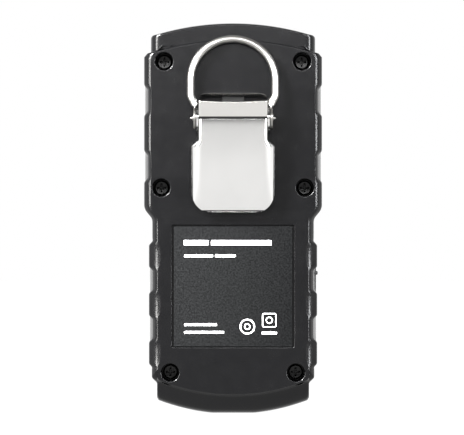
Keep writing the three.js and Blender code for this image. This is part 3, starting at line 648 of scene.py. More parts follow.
# ---- Label ----
# A grained dark grey film sits in a shallow pocket. It carries plain white printed bars, a ring and a framed
# square in place of wording and marks.
film = Paint("grained_grey_film", Specular_IOR_Level=0.0)
fleck = film.noise(0.00062, 2.0)
cloud = film.noise(0.006, 2.0)
film.set("Base Color", film.between((fleck - 0.36) * 3.0, grey(0.0040, -0.03), grey(0.0098, -0.03)))
film.set("Roughness", 0.55 + 0.2 * cloud)
film.relief(fleck, 0.00006, 0.5)
film_face = 33.7
label = Surface()
label.stack([rounded(label_high.x, label_low.z, label_high.z, 0.4, depth, inset=inset, steps=4)
             for inset, depth in ((0, 33.35), (0, film_face - .05), (.06, film_face))])
label.made("label_film", film, "case", "label_film", replaces=["rear_label"])

ink = Paint("white_print")
wear = ink.noise(0.0009, 3.0)
ink.set("Base Color", ink.between(wear, grey(0.72), grey(0.9)))
ink.set("Roughness", 0.5 + 0.1 * wear)
INK_FOOT, INK_FACE = film_face - 0.01, film_face + 0.03
prints = Surface()
bars = [(-18.7, -9.3, 63.7, 65.6), (-8.3, 14.6, 63.7, 65.6), (-18.5, -7.6, 59.2, 60.2),
        (-6.8, 1.0, 59.2, 60.2), (-18.5, -6.2, 33.2, 34.1), (-18.5, -3.4, 30.3, 31.2),
        (10.8, 16.6, 30.0, 30.9)]
for x0, x1, low, high in bars:
    prints.stack([rounded((x1 - x0) / 2, low, high, 0.3, depth, (x0 + x1) / 2, steps=4)
                  for depth in (INK_FOOT, INK_FACE)])


def frame_print(outer, inner):
    """A flat printed band between two outlines of equal count, with its thickness."""
    outer, inner = outer[:, :2], inner[:, :2]
    prints.grid([at_depth(outer, INK_FOOT), at_depth(outer, INK_FACE), at_depth(inner, INK_FACE),
                 at_depth(inner, INK_FOOT), at_depth(outer, INK_FOOT)], wrap=True)


for x, y, outer, inner in ((5.4, 32.9, 2.9, 2.4), (5.4, 32.9, 1.2, 0.8), (13.7, 35.3, 1.3, 0.95)):
    frame_print(circle(x, y, outer, 0), circle(x, y, inner, 0))
frame_print(rounded(2.7, 32.6, 38.0, 0.8, 0, 13.7), rounded(2.35, 32.95, 37.65, 0.5, 0, 13.7))
prints.made("label_print", ink, "case", "label_film")

# ---- Belt clip ----
# Pressed stainless steel, polished bright: a base plate with two ears, a sprung jaw whose sides are bent back
# into flanges, and a D-ring with flattened eyes, all on one pointed pin.
PIN_UP, PIN_DEPTH = 111.7, 40.0


def steel_with_fold_shade(name, low, high, tone, rough=0.06):
    """Polished steel with painted shade between two heights in metres: a near-black, rougher band where the
    sheet folds.
    """
    paint = Paint(name, Metallic=1.0)
    haze = paint.noise(0.010, 3.0)
    hairline = paint.noise(0.0006, 2.0, (1.0, 1.0, 0.04))
    # Painted shade: between the two heights the colour turns near black, standing for the shade in the fold.
    line = (paint.axis("Z") > low) * (paint.axis("Z") < high)
    bright = paint.between(haze, tone, tuple(min(1.0, part * 1.08) for part in tone))
    paint.set("Base Color", paint.between(line, bright, grey(0.03)))
    paint.set("Roughness", rough + 0.04 * haze + 0.02 * hairline + 0.3 * line)
    paint.relief(hairline, 0.000002, 0.3)
    return paint


# A band of painted fold shade below the floor, for pieces that have no fold, and the tone of the bright steel.
NO_FOLD_SHADE = (-0.002, -0.001)
BRIGHT = (0.66, 0.655, 0.645, 1)
steel = steel_with_fold_shade("polished_steel", *NO_FOLD_SHADE, BRIGHT)
# The jaw's steel has a line of painted shade across its rolled toe, 76.55 to 76.95 mm up.
toe_steel = steel_with_fold_shade("toe_steel", 0.07655, 0.07695, BRIGHT)

JAW_FOOT, CORNER_UP, JAW_BEND = 75.9, 84.0, 111.3
PANEL_HALF, JAW_HALF = 11.7, 15.8


def jaw_depth(up):
    """Depth of the jaw's face: rolled steeply at the toe, then easing to nearly flat at the bend."""
    t = np.clip((up - JAW_FOOT) / (JAW_BEND + 0.7 - JAW_FOOT), 0, 1)
    return 36.2 + 7.0 * (1 - (1 - t) ** 1.5) ** 0.3 + 0.6 * t


def jaw_half(up):
    """Half width of the jaw: the neck above, a shoulder, straight sides and round bottom corners."""
    step = np.clip((up - 100.7) / 2.9, 0, 1)
    wide = JAW_HALF - 2.8 * step * step * (3 - 2 * step)
    corner = np.clip((CORNER_UP - up) / (CORNER_UP - JAW_FOOT), 0, 1)
    return np.where(up < CORNER_UP, 8.0 + 7.8 * np.sqrt(1 - corner ** 2), wide)


jaw_up = np.concatenate([JAW_FOOT + 8.1 * np.linspace(0, 1, 36) ** 1.9, np.linspace(84.5, 100.4, 26),
                         np.linspace(100.7, 103.8, 16), np.linspace(104.4, JAW_BEND - 0.06, 14), [JAW_BEND]])


def jaw_face(up):
    """Half of the jaw's face in rows up its height: flat across, then bent back on an ellipse to a flange."""
    half, face = jaw_half(up), jaw_depth(up)
    bend = np.where(up < CORNER_UP, JAW_HALF, half) - PANEL_HALF
    reach = np.arcsin(np.clip((half - PANEL_HALF) / bend, 0, 1))
    panel = np.linspace(0, 1, 8)[None, :-1] * np.minimum(half, PANEL_HALF)[:, None]
    angle = np.linspace(0, 1, 14)[None, :] * reach[:, None]
    roll_x = np.minimum(half, PANEL_HALF)[:, None] + bend[:, None] * np.sin(angle)
    drop = 0.92 * np.minimum(bend, face - 36.0)[:, None] * (1 - np.cos(angle))
    edge = face[:, None] - drop
    skirt_low = np.interp(up, [CORNER_UP, 93], [0, 1])
    low = edge[:, -1] + (36.5 - edge[:, -1]) * skirt_low ** 0.7
    wall = edge[:, -1:] + (low - edge[:, -1])[:, None] * np.linspace(0, 1, 5)[None, 1:]
    x = np.concatenate([panel, roll_x, np.repeat(roll_x[:, -1:], 4, 1)], 1)
    depth = np.concatenate([np.repeat(face[:, None], 7, 1), edge, wall], 1)
    return np.stack([x, np.repeat(up[:, None], x.shape[1], 1), depth], -1)


def both(half):
    """Rows of the right half joined to their mirror image across the middle."""
    return np.concatenate([half[:, :0:-1] * [-1, 1, 1], half], 1)


jaw = Surface()
jaw.grid(both(jaw_face(jaw_up)))
jaw.made("jaw_plate", toe_steel, "jaw", "polished_steel", sharp=60, wall=0.85, replaces=["clip_jaw"])

# The bend between jaw and thumb tab carries a band of painted shade, 111.3 to 112.25 mm up, for the shade in the
# fold.
folded = steel_with_fold_shade("folded_steel", 0.1113, 0.11225, (0.62, 0.61, 0.59, 1))

# The thumb tab is the jaw's sheet turned outwards at the bend, with a slightly hollow top edge.
THUMB_HALF, THUMB_HOLLOW = 12.9, 0.45
THUMB_FOOT, THUMB_RISE = 112.3, 6.1
THUMB_DEPTH, THUMB_LEAN = 43.6, 3.3
thumb_line = [(111.35, 42.6), (111.4, 41.9), (111.6, 41.7), (111.95, 41.9), (112.05, 42.8), (112.1, 43.3),
              (THUMB_FOOT, THUMB_DEPTH)]
thumb_line += [(THUMB_FOOT + THUMB_RISE * t, THUMB_DEPTH + THUMB_LEAN * t) for t in (.2, .4, .6, .8, .985, 1)]
thumb_up, thumb_depth = np.array(thumb_line).T[:, :, None]
thumb_across = np.linspace(-THUMB_HALF, THUMB_HALF, 27)
thumb_share = np.maximum(0.0, (thumb_up - THUMB_FOOT) / THUMB_RISE)
hollow = THUMB_HOLLOW * thumb_share * (1 - (thumb_across / THUMB_HALF) ** 2)
thumb = Surface()
thumb.grid(np.stack(np.broadcast_arrays(thumb_across, thumb_up - hollow, thumb_depth), -1))
thumb.made("thumb_tab", folded, "jaw", "polished_steel", sharp=60, wall=0.85)


CHEEK_SIDES = 48
EYE_RADIUS, PIVOT_HOLE = 3.9, 1.3


def cheek(surface, x0, x1, radius, hole, foot):
    """A sheet square to the pin, round about it and pierced for it, drawn out below to the line `foot`."""
    angle = np.linspace(0, 2 * np.pi, CHEEK_SIDES, endpoint=False)
    rim = np.stack([PIN_UP + radius * np.cos(angle), PIN_DEPTH + radius * np.sin(angle)], -1)
    if foot:
        target = np.stack([np.interp(rim[:, 0], [PIN_UP - radius, PIN_UP + radius], [foot[0][k], foot[1][k]])
                           for k in (0, 1)], -1)
        rim = rim + (target - rim) * np.clip(-np.sin(angle), 0, 1)[:, None] ** 0.5
    eye = np.stack([PIN_UP + hole * np.cos(angle), PIN_DEPTH + hole * np.sin(angle)], -1)
    ring = [np.column_stack([np.full(CHEEK_SIDES, x), line]) for x, line in
            ((x0, eye), (x0, rim), (x1, rim), (x1, eye), (x0, eye))]
    surface.grid(ring, wrap=True)


lugs = Surface()
for side in (-1, 1):
    cheek(lugs, side * 12.1, side * 12.95, 3.45, PIVOT_HOLE, ((104.0, 37.2), (114.6, 37.6)))
lugs.made("jaw_lugs", steel, "jaw", "polished_steel", sharp=30)

# The base plate has a satin face and a central tongue that carries the turned-up, serrated top lip.
# Its steel is painted nearly black, standing for the shade that lies on it behind the jaw.
base = Surface()
base.stack([rounded(12.6, 78.5, 117.0, 2.4, depth, inset=inset)
            for inset, depth in ((0, 34.3), (0, 35.0), (.08, 35.1))])
base.stack([rounded(4.1, 116.6, 120.9, 0.3, depth) for depth in (34.35, 35.06)])
satin_shade_dark = Paint("satin_steel_shade_dark", Metallic=1.0)
brushed = satin_shade_dark.noise(0.0008, 3.0, (0.05, 1.0, 1.0))
# Painted shade: the steel's colour is held near black, far darker than bare steel, for the shade behind the jaw.
satin_shade_dark.set("Base Color", satin_shade_dark.between(brushed, grey(0.018), grey(0.032)))
satin_shade_dark.set("Roughness", 0.42 + 0.12 * brushed)
base.made("base_plate", satin_shade_dark, "case", "polished_steel", replaces=["clip_base"])

ears = Surface()
for side in (-1, 1):
    cheek(ears, side * 13.1, side * 13.8, EYE_RADIUS, PIVOT_HOLE, ((103.6, 34.9), (115.6, 34.9)))
ears.made("base_ears", steel, "case", "polished_steel", sharp=30)

# The lip droops at its ends, and its top edge carries small triangular teeth along the middle.
lip_across = np.linspace(-12.7, 12.7, 190)
lip_sink = -1.1 * np.clip((np.abs(lip_across) - 9.5) / 3.2, 0, 1) ** 2
teeth = 0.2 * np.where(np.abs(lip_across) < 9.0, np.abs(((lip_across / 0.9) % 1) * 2 - 1), 0.4)
lip_top, lip_low = 121.15 + teeth + lip_sink, 120.35 + lip_sink
lip_rows = [(lip_low, 34.5), (lip_low, 37.0), (lip_low + .12, 37.2), (lip_top - .12, 37.4), (lip_top, 37.3),
            (lip_top, 34.5), (lip_low, 34.5)]
lip = Surface()
lip.grid([np.column_stack([lip_across, up, np.full_like(up, depth)]) for up, depth in lip_rows])
for end in (0, -1):
    lip.cap([(lip_across[end], up[end], depth) for up, depth in lip_rows[:-1]])
lip.made("base_lip", steel, "case", "polished_steel", sharp=30)


def rod(path, radius, sides=20, flat=None, up=(0.0, 0.0, 1.0)):
    """A round bar along a path: at each point a circle square to it, scaled (sideways, up) by `flat`."""
    path = np.asarray(path, float)
    ahead = np.gradient(path, axis=0)
    ahead /= np.linalg.norm(ahead, axis=1)[:, None]
    side = np.cross(ahead, up)
    side /= np.linalg.norm(side, axis=1)[:, None]
    lift = np.cross(side, ahead)
    scale = np.ones((len(path), 2)) if flat is None else flat
    angle = np.linspace(0, 2 * np.pi, sides, endpoint=False)
    return (path[:, None] + radius * (scale[:, :1, None] * np.cos(angle)[None, :, None] * side[:, None]
                                      + scale[:, 1:, None] * np.sin(angle)[None, :, None] * lift[:, None]))


wire_steel = steel_with_fold_shade("drawn_steel", *NO_FOLD_SHADE, (0.22, 0.215, 0.205, 1), 0.30)

# The D-ring: a bow over two legs that draw in and flatten towards the eyes. It leans back until it nearly
# touches the housing; heights along it are counted from the pin.
RING_WIRE, RING_HALF, RING_TOP = 1.4, 16.0, 143.1
EYE_HALF = 14.4
lean = math.asin((PIN_DEPTH - BACK - RING_WIRE - 0.3) / (RING_TOP - RING_WIRE - PIN_UP))
bow_centre = (RING_TOP - PIN_UP) / math.cos(lean) - RING_WIRE - RING_HALF
leg = np.linspace(2.2, bow_centre, 44)
ease = np.clip((leg - 4.6) / 4.4, 0, 1)
leg_x = EYE_HALF + (RING_HALF - EYE_HALF) * ease * ease * (3 - 2 * ease)
sweep = np.linspace(0, np.pi, 64)[1:-1]
ring_x = np.concatenate([leg_x, RING_HALF * np.cos(sweep), -leg_x[::-1]])
ring_h = np.concatenate([leg, bow_centre + RING_HALF * np.sin(sweep), leg[::-1]])
flatness = np.interp(ring_h, [2.2, 3.9, 5.0], [0, 0, 1])[:, None]
ring_scale = np.concatenate([0.3 + 0.7 * flatness, 1.35 - 0.35 * flatness], 1)


def leaning(points):
    """(across, along the ring, square to it) to (across, up, depth), leant back from the pin."""
    across, length, out = points[..., 0], points[..., 1], points[..., 2]
    return np.stack([across, PIN_UP + length * math.cos(lean) + out * math.sin(lean),
                     PIN_DEPTH - length * math.sin(lean) + out * math.cos(lean)], -1)


d_ring = Surface()
wire = rod(np.column_stack([ring_x, ring_h, np.zeros_like(ring_x)]), RING_WIRE, 24, ring_scale)
d_ring.stack(leaning(wire))
for side in (-1, 1):
    cheek(d_ring, side * 14.15, side * 14.95, EYE_RADIUS, PIVOT_HOLE, None)
d_ring.made("ring_wire", wire_steel, "ring", "polished_steel", sharp=35, replaces=["d_ring"])

# The pin: a turned bar that steps down outside each eye and ends in a point.
pin_end = [(16.3, 0.02), (15.9, 0.3), (15.3, 0.62), (15.2, 0.98), (15.05, 1.0)]
pin_line = [(-x, radius) for x, radius in pin_end] + pin_end[::-1]
turn = np.linspace(0, 2 * np.pi, 24, endpoint=False)
pin = Surface()
pin.stack([np.column_stack([np.full_like(turn, x), PIN_UP + radius * np.sin(turn),
                            PIN_DEPTH + radius * np.cos(turn)]) for x, radius in pin_line])
pin.made("hinge_pin", wire_steel, "case", "polished_steel", sharp=40, replaces=["clip_pin"])

# The torsion spring: turns of round wire about the pin, with a leg on the base plate and one behind the jaw.
spring_wire = Paint("spring_steel", Metallic=1.0, Base_Color=grey(0.42))
spring_wire.set("Roughness", 0.28 + 0.12 * spring_wire.noise(0.002))
coil_turn = np.linspace(-np.pi / 2, 8.5 * np.pi, 220)
coil_x = np.interp(coil_turn, [coil_turn[0], coil_turn[-1]], [-4.5, 4.5])
coil = np.column_stack([coil_x, PIN_UP + 1.85 * np.cos(coil_turn), PIN_DEPTH + 1.85 * np.sin(coil_turn)])
back_leg = np.linspace((-4.5, PIN_UP, 38.15), (-4.5, 104.5, 35.75), 6)
jaw_leg = np.linspace((4.5, PIN_UP, 41.85), (4.5, 104.5, 41.9), 6)
spring = Surface()
for path in (coil, back_leg, jaw_leg):
    spring.stack(rod(path, 0.38, 10, up=(1.0, 0.0, 0.0)))
spring.made("hinge_spring", spring_wire, "case", "spring_steel", sharp=60, replaces=["clip_spring"])

# ---- Housing screws ----
# Six black-oxide steel pan-head screws with cross recesses stand at the bottom of the counterbores. They pass
# through the rear half and cut their own thread in the front half's bosses.
oxide = Paint("black_oxide_screw", Metallic=1.0)
scuff = oxide.noise(0.0009, 3.0)
oxide.set("Base Color", oxide.between(scuff, grey(0.034), grey(0.08)))
oxide.set("Roughness", 0.32 + 0.2 * scuff)
SCREW_RINGS = [(0.3, 7.0), (1.0, 8.2)] + [(1.45 if k % 2 else 1.2, 9.2 + 0.45 * k) for k in range(24)]
SCREW_RINGS += [(1.45, 20.4), (1.45, 21.3), (2.85, 21.3), (2.85, 22.3), (2.72, 22.8), (2.28, 23.3)]


def cross(x, y, reach, half, depth):
    """The outline of a cross recess: four arms `reach` long and twice `half` wide."""
    arm = np.array([(reach, -half), (reach, half), (half, half)])
    quarter = np.array([[0, -1], [1, 0]])
    arms = [arm]
    for _ in range(3):
        arms.append(arms[-1] @ quarter.T)
    return at_depth(np.concatenate(arms) + [x, y], depth)


for number, (x, y) in enumerate(sorted(SCREW_SPOTS, key=lambda spot: (-spot[1], spot[0])), 1):
    screw = Surface()
    rings = [circle(x, y, radius, depth, 32) for radius, depth in SCREW_RINGS]
    screw.stack(rings, close=(True, False))
    recess = [cross(x, y, 1.7, 0.36, 23.3), cross(x, y, 1.6, 0.32, 22.7), cross(x, y, 1.1, 0.2, 22.2)]
    screw.cap(rings[-1], [recess[0]])
    screw.stack(recess, close=(False, True))
    screw.made(f"case_screw_{number}", oxide, "case", "black_screw", replaces=[f"housing_screw_{number}"])

# ---- Seal ----
# A black silicone cord of rounded section lies in the groove between the two halves. It follows their outline
# a little inside it, and the screws squeeze it.
SEAL_SECTION = [(.3, -.6), (.35, -.45), (.35, .45), (.3, .6), (-.3, .6), (-.35, .45), (-.35, -.45), (-.3, -.6)]
SEAL_SECTION.append(SEAL_SECTION[0])
SEAL_FOOT_RADIUS = 70.0


def seal_line(grow):
    """The closed line of the groove with `grow` added all round."""
    foot_x = np.linspace(0, 27 + grow, 14)
    foot_up = 2.2 - grow + SEAL_FOOT_RADIUS - np.sqrt(SEAL_FOOT_RADIUS ** 2 - foot_x ** 2)
    half = grow / 2
    side = [(27.2 + grow, 12.2), (29.2 + grow, 14), (29.2 + grow, 73.2 - half), (31.2 + grow, 78.6 - half),
            (31.2 + grow, 133.6 + half), (29.4 + grow, 137.2 + half), (29.4 + grow, 141 + grow)]
    top_x = np.linspace(28.2 + half, 0, 16)
    top = np.column_stack([top_x, arc(145.7 + grow, CROWN_RADIUS, top_x)])
    return mirrored(np.concatenate([np.column_stack([foot_x, foot_up]), side, top]))


seal = Surface()
seal.grid([at_depth(seal_line(grow), 18.0 + lift) for grow, lift in SEAL_SECTION], wrap=True)
seal.made("seal_cord", rubber, "case", "soft_rubber", replaces=["housing_seal"])

# ---- Display ----
# A glossy acrylic pane, printed black round its border, is glued into the pocket of the front half. The
# switched-off liquid crystal module under it sits in a dark metal frame.
glossy = Paint("bordered_pane")
smear = glossy.noise(0.02, 3.0)
WINDOW_HALF, WINDOW_LOW, WINDOW_HIGH = 0.0205, 0.058, 0.093
pane_x, pane_z = glossy.axis("X"), glossy.axis("Z")
window = (pane_x > -WINDOW_HALF) * (pane_x < WINDOW_HALF) * (pane_z > WINDOW_LOW) * (pane_z < WINDOW_HIGH)
glossy.set("Base Color", glossy.between(smear, grey(0.006), grey(0.009)))
glossy.set("Roughness", 0.05 + 0.05 * smear)
glossy.set("Alpha", 1.0 - 0.78 * window)
PLATE_RINGS = [(0.1, 1.2), (0, 1.1), (0, 0.3), (0.06, 0.16), (0.2, 0.1)]
pane = Surface()
pane.stack([rounded(24.0, 54.0, 97.0, 2.2, depth, inset=inset) for inset, depth in PLATE_RINGS])
pane.made("window_pane", glossy, "case", "clear_pane", replaces=["display_pane"])

crystal = Paint("switched_off_display")
cell_x, cell_z, cell_y = crystal.axis("X"), crystal.axis("Z"), crystal.axis("Y")
active = (cell_x > -0.0207) * (cell_x < 0.0207) * (cell_z > 0.0577) * (cell_z < 0.0933)
active = active * (cell_y > (FACE - 3.15) * MM) * (cell_y < (FACE - 2.9) * MM)
divider = (cell_x > -0.00012) * (cell_x < 0.00012) + (cell_z > 0.07538) * (cell_z < 0.07562)
shimmer = crystal.noise(0.004, 2.0)
glass_tone = crystal.between(shimmer, (0.145, 0.160, 0.130, 1), (0.175, 0.190, 0.155, 1))
segments = crystal.between(divider, glass_tone, grey(0.03))
crystal.set("Base Color", crystal.between(active, grey(0.02), segments))
crystal.set("Roughness", 0.42 - 0.2 * active + 0.05 * shimmer)
module = Surface()
module.stack([rounded(23.0, 55.0, 95.5, 0.6, depth, inset=inset)
              for inset, depth in ((0.2, 6.9), (0, 6.7), (0, 2.85), (0.15, 2.7), (1.7, 2.7), (1.8, 3.0))])
module.made("display_cell", crystal, "case", "screen", replaces=["display_module"])

# ---- Sensor cover and filters ----
# A plate of the housing's plastic is pressed into the front half over the four gas sensors, with four slots
# in front of each. Round white felt discs behind it keep dust out.
SLOT_RISES = (-3.6, -1.2, 1.2, 3.6)
SLOT_REACH, SLOT_HALF = 5.2, 0.55
SLOT_WALL = [(-.12, .1), (-.05, .13), (0, .25), (0, 1.2)]
RIM_RINGS = [(6.3, .1), (6.4, .0), (6.8, .0), (6.9, .1)]
cover_plate = Surface()
plate_rings = [rounded(24.6, 100.4, 138.4, 5.7, depth, inset=inset) for inset, depth in PLATE_RINGS]
slots = [(x, y + rise, math.sqrt(SLOT_REACH ** 2 - rise ** 2)) for x, y in SENSOR_SPOTS for rise in SLOT_RISES]
slot_walls = [[rounded(half, y - SLOT_HALF, y + SLOT_HALF, 0.5, depth, x, inset, 4)
               for inset, depth in SLOT_WALL] for x, y, half in slots]
rims = [[circle(x, y, radius, depth) for radius, depth in RIM_RINGS] for x, y in SENSOR_SPOTS]
cover_plate.grid(plate_rings, wrap=True)
cover_plate.cap(plate_rings[0], [walls[-1] for walls in slot_walls])
cover_plate.cap(plate_rings[-1], [rim[-1] for rim in rims])
for walls in slot_walls:
    cover_plate.grid(walls, wrap=True)
for number, rim in enumerate(rims):
    cover_plate.grid(rim, wrap=True)
    own = slice(number * len(SLOT_RISES), (number + 1) * len(SLOT_RISES))
    cover_plate.cap(rim[0], [walls[0] for walls in slot_walls[own]])
cover_plate.made("sensor_cover", plastic, "case", "shell_plastic", sharp=50, replaces=["sensor_grille"])

felt = Paint("white_felt", Specular_IOR_Level=0.2)
fibre = felt.noise(0.00025, 4.0, (1.0, 1.0, 0.4))
felt.set("Base Color", felt.between(fibre, (0.50, 0.50, 0.47, 1), (0.82, 0.82, 0.79, 1)))
felt.set("Roughness", 0.85 + 0.1 * fibre)
felt.relief(fibre, 0.0001, 0.8)
FELT_RINGS = [(0.5, 1.68), (3, 1.7), (5, 1.78), (5.7, 1.88), (5.9, 2.08), (5.9, 2.7), (5.7, 2.9)]
for number, (x, y) in enumerate(SENSOR_SPOTS, 1):
    disc = Surface()
    disc.stack([circle(x, y, radius, depth) for radius, depth in FELT_RINGS])
    disc.made(f"felt_disc_{number}", felt, "case", "filter_felt", replaces=[f"dust_filter_{number}"])

# ---- Keys ----
# Three domed silk-grey silicone keys on flanges, moulded apart and standing on one membrane that springs them
# back. They are printed with a left triangle, an open ring with a bar and a right triangle.
silk = Paint("silk_grey_rubber", Specular_IOR_Level=0.4)
bloom = silk.noise(0.0014, 3.0)
silk.set("Base Color", silk.between(bloom, grey(0.055, -0.05), grey(0.085, -0.05)))
silk.set("Roughness", 0.52 + 0.14 * bloom)
silk.relief(silk.noise(0.0003, 2.0), 0.00002, 0.4)
KEY_UP, MARK_FOOT, MARK_FACE = 40.0, -0.76, -0.80
KEY_RINGS = [(-1.2, 3.5), (-1.2, 2.7), (0, 2.7), (0, 0.2), (.02, -.05), (.12, -.35), (.4, -.58), (.9, -.71),
             (1.6, -.76), (2.6, -.77)]


def open_ring(x, y, outer, inner, gap):
    """A flat ring open at the top over `gap` degrees, as one closed outline."""
    angle = np.radians(np.linspace(90 + gap / 2, 450 - gap / 2, 40))
    sweep = np.stack([np.cos(angle), np.sin(angle)], -1)
    return np.concatenate([outer * sweep, inner * sweep[::-1]]) + [x, y]


def triangle(x, y, reach):
    """A triangle whose point lies `reach` to the side; a negative reach points left."""
    return np.array([(x + reach, y), (x - 0.6 * reach, y + 1.3), (x - 0.6 * reach, y - 1.3)])


key_marks = {"left": [triangle(-17.0, KEY_UP, -1.5)], "right": [triangle(17.0, KEY_UP, 1.5)],
             "power": [open_ring(0.0, KEY_UP - 0.1, 1.55, 1.15, 70),
                       rounded(0.2, KEY_UP + 0.1, KEY_UP + 1.7, 0.15, 0, steps=3)[:, :2]]}
for side, marks in key_marks.items():
    button = Surface()
    key_x = KEY_SPOTS[f"key_{side}"]
    button.stack([rounded(5.6, 35.8, 44.2, 2.0, depth, key_x, inset) for inset, depth in KEY_RINGS])
    button.made(f"{side}_button", silk, f"{side}_key", "key_rubber", sharp=50, replaces=[f"key_{side}"])
    mark = Surface()
    for shape in marks:
        mark.stack([at_depth(shape, MARK_FOOT), at_depth(shape, MARK_FACE)])
    mark.made(f"{side}_mark", ink, f"{side}_key", "key_rubber")

membrane = Surface()
membrane.stack([rounded(24.6, 32.5, 47.5, 2.0, depth, inset=inset)
                for inset, depth in ((.3, 5.6), (0, 5.4), (0, 4.8), (.3, 4.6))])
membrane.made("key_membrane", rubber, "case", "soft_rubber", replaces=["key_mat"])

# ---- Alarm lights ----
# Two clear red acrylic mouldings beside the crown, pressed into their openings in the display face. A fine
# stipple inside them spreads the light.
lens_red = Paint("red_lens")
stipple = lens_red.speckle(0.0006)
lens_red.set("Base Color", lens_red.between(stipple, (0.42, 0.012, 0.010, 1), (0.60, 0.03, 0.02, 1)))
lens_red.set("Roughness", 0.10 + 0.12 * stipple)
lens_red.relief(stipple, 0.00003, 0.4)
LENS_RINGS = [(0, 3.6), (0, .5), (-.06, .22), (-.25, .1)]
for side, word in ((-1, "left"), (1, "right")):
    lens = Surface()
    lens.stack([alarm_corners(side, depth, grow) for grow, depth in LENS_RINGS])
    lens.made(f"alarm_lens_{word}", lens_red, "case", "alarm_lens", sharp=50,
              replaces=[f"alarm_light_{word}"])

# ---- Charging socket ----
# A drawn and plated metal shell round an open mouth, with a thin black tongue inside it.
# Known fault: socket_depth is counted from the display face where on_flank takes the frame's own y, so both
# pieces stand 4.1 mm too far back, and the floor of the flap's pocket closes off the mouth.
plated = Paint("plated_metal", Metallic=1.0)
drawn = plated.noise(0.0012, 3.0, (0.3, 1.0, 1.0))
plated.set("Base Color", plated.between(drawn, grey(0.42), grey(0.52)))
plated.set("Roughness", 0.26 + 0.14 * drawn)
socket_low, socket_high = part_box("usb_socket")
socket_up = (socket_low.z + socket_high.z) / 2 / MM
socket_depth = FACE - (socket_low.y + socket_high.y) / 2 / MM
SOCKET_RINGS = [(0, 22.6), (0, 28.5), (.08, 28.68), (.2, 28.7), (.33, 28.6), (.4, 28.4), (.4, 24.0)]
shell = Surface()
shell.stack([rounded(1.6, socket_up - 4.4, socket_up + 4.4, 1.55, out, socket_depth, inset)
             for inset, out in SOCKET_RINGS])
shell.made("socket_shell", plated, "case", "spring_steel", replaces=["usb_socket"], turn=on_flank)
tongue = Surface()
tongue.stack([rounded(0.32, socket_up - 3.2, socket_up + 3.2, 0.15, out, socket_depth, inset)
              for inset, out in ((0, 24.0), (0, 27.4), (.08, 27.5))])
tongue.made("socket_tongue", oxide, "case", "spring_steel", turn=on_flank)

# ---- Insides ----
# Parts that only show when the housing is apart. The boards, sensors, cell, plug, motor, bracket and the
# small screws keep their shapes and are given a finish; the wires and the sounder are made here.
board_green = Paint("solder_mask", Specular_IOR_Level=0.5)
pads_near = board_green.speckle(0.0028) < 0.24
traces = board_green.noise(0.004, 0.0, (1.0, 1.0, 6.0)) > 0.55
mask_tone = board_green.between(traces, (0.012, 0.10, 0.035, 1), (0.022, 0.16, 0.06, 1))
board_green.set("Base Color", board_green.between(pads_near, mask_tone, (0.62, 0.60, 0.55, 1)))
board_green.set("Metallic", pads_near)
board_green.set("Roughness", 0.3 + 0.08 * board_green.noise(0.01))

natural = Paint("natural_plastic")
flow = natural.noise(0.006, 3.0)
natural.set("Base Color", natural.between(flow, (0.54, 0.54, 0.50, 1), (0.64, 0.64, 0.60, 1)))
natural.set("Roughness", 0.42 + 0.12 * flow)
natural.relief(natural.noise(0.0004, 2.0), 0.00002, 0.3)

wrap_blue = Paint("shrink_wrap")
wrinkle = wrap_blue.noise(0.003, 3.0, (3.0, 1.0, 0.5))
wrap_blue.set("Base Color", wrap_blue.between(wrinkle, (0.03, 0.11, 0.30, 1), (0.05, 0.17, 0.42, 1)))
wrap_blue.set("Roughness", 0.28 + 0.14 * wrinkle)
wrap_blue.relief(wrinkle, 0.00008, 0.4)


def finished(paint, *names):
    """Carried-over nodes whose shape is right, given their finish."""
    for name in names:
        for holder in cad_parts[name].material_slots:
            holder.material = paint.material


finished(board_green, "main_board", "key_board")
finished(natural, "display_bracket", "battery_plug", *(f"gas_sensor_{k}" for k in range(1, 5)))
finished(wrap_blue, "battery_pack")
finished(plated, "vibration_motor", *(f"board_screw_{k}" for k in range(1, 5)))
finished(steel, "clip_screw_1", "clip_screw_2")

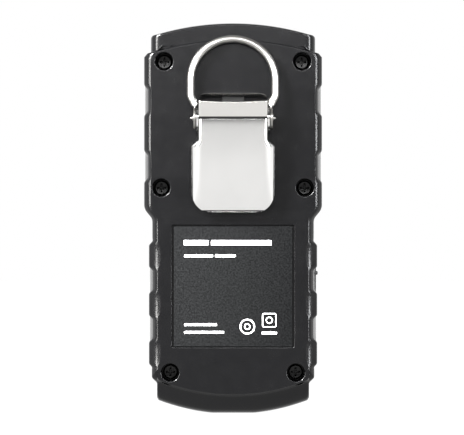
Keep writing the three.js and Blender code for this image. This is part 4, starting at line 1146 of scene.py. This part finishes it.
# Two insulated wires side by side from the cell to its plug.
insulation = Paint("wire_insulation")
red_side = insulation.axis("X") - insulation.axis("Z") * 1.2 > -0.0835
insulation.set("Base Color", insulation.between(red_side, grey(0.012), (0.40, 0.015, 0.012, 1)))
insulation.set("Roughness", 0.42 + 0.12 * insulation.noise(0.001))
lead_turns = np.array([(10, 76.3, 27.0), (10.4, 78.5, 26.4), (13, 80.4, 25.8), (16, 81.6, 25.2),
                       (17.5, 84.2, 24.6)])
lead_steps = np.arange(len(lead_turns))
lead_run = np.linspace(0, lead_steps[-1], 34)
lead_line = np.column_stack([np.interp(lead_run, lead_steps, smooth(column, 1)) for column in lead_turns.T])
lead_line = np.column_stack([smooth(column, 3) for column in lead_line.T])
wires_pair = Surface()
for offset in (-0.42, 0.42):
    wires_pair.stack(rod(lead_line + [offset * 0.6, -offset * 0.8, 0], 0.4, 10))
wires_pair.made("lead_wires", insulation, "case", "soft_rubber", sharp=60, replaces=["battery_lead"])

# The sounder: a shallow black can with a sound hole in the middle of its face.
SOUNDER_UP = 20
SOUNDER_RINGS = [(5.8, 8.7), (6, 8.5), (6, 3.0), (5.8, 2.75), (5.4, 2.7), (1.3, 2.7), (1.2, 2.85), (1.2, 4.2)]
sounder = Surface()
sounder.stack([circle(0, SOUNDER_UP, radius, depth) for radius, depth in SOUNDER_RINGS])
sounder.made("sounder_can", rubber, "case", "soft_rubber", replaces=["buzzer"])

# ---- Floor ----
# A wide matt sheet that glows as brightly as the room, so that it meets the room without a line and lights
# the instrument from below. It lies just under the foot.
FLOOR_HALF, FLOOR_FRONT, FLOOR_UP = 4.0, -2.2, -0.0002
floor_corners = [(-FLOOR_HALF, FLOOR_FRONT, FLOOR_UP), (FLOOR_HALF, FLOOR_FRONT, FLOOR_UP),
                 (FLOOR_HALF, FLOOR_HALF, FLOOR_UP), (-FLOOR_HALF, FLOOR_HALF, FLOOR_UP)]
floor_mesh = bpy.data.meshes.new("floor")
floor_mesh.from_pydata(floor_corners, [], [(0, 1, 2, 3)])
floor = bpy.data.objects.new("floor", floor_mesh)
bpy.context.scene.collection.objects.link(floor)
pale = Paint("pale_floor", Roughness=0.9, Specular_IOR_Level=0.0, Emission_Strength=1.0)
away = pale.axis("X") * pale.axis("X") * 8.0
pale.set("Emission Color", pale.between(away, (1.0, 1.0, 1.0, 1.0), (1.35, 1.35, 1.35, 1.0)))
pale.set("Base Color", pale.between(pale.noise(0.3), grey(0.015), grey(0.020)))
floor_mesh.materials.append(pale.material)
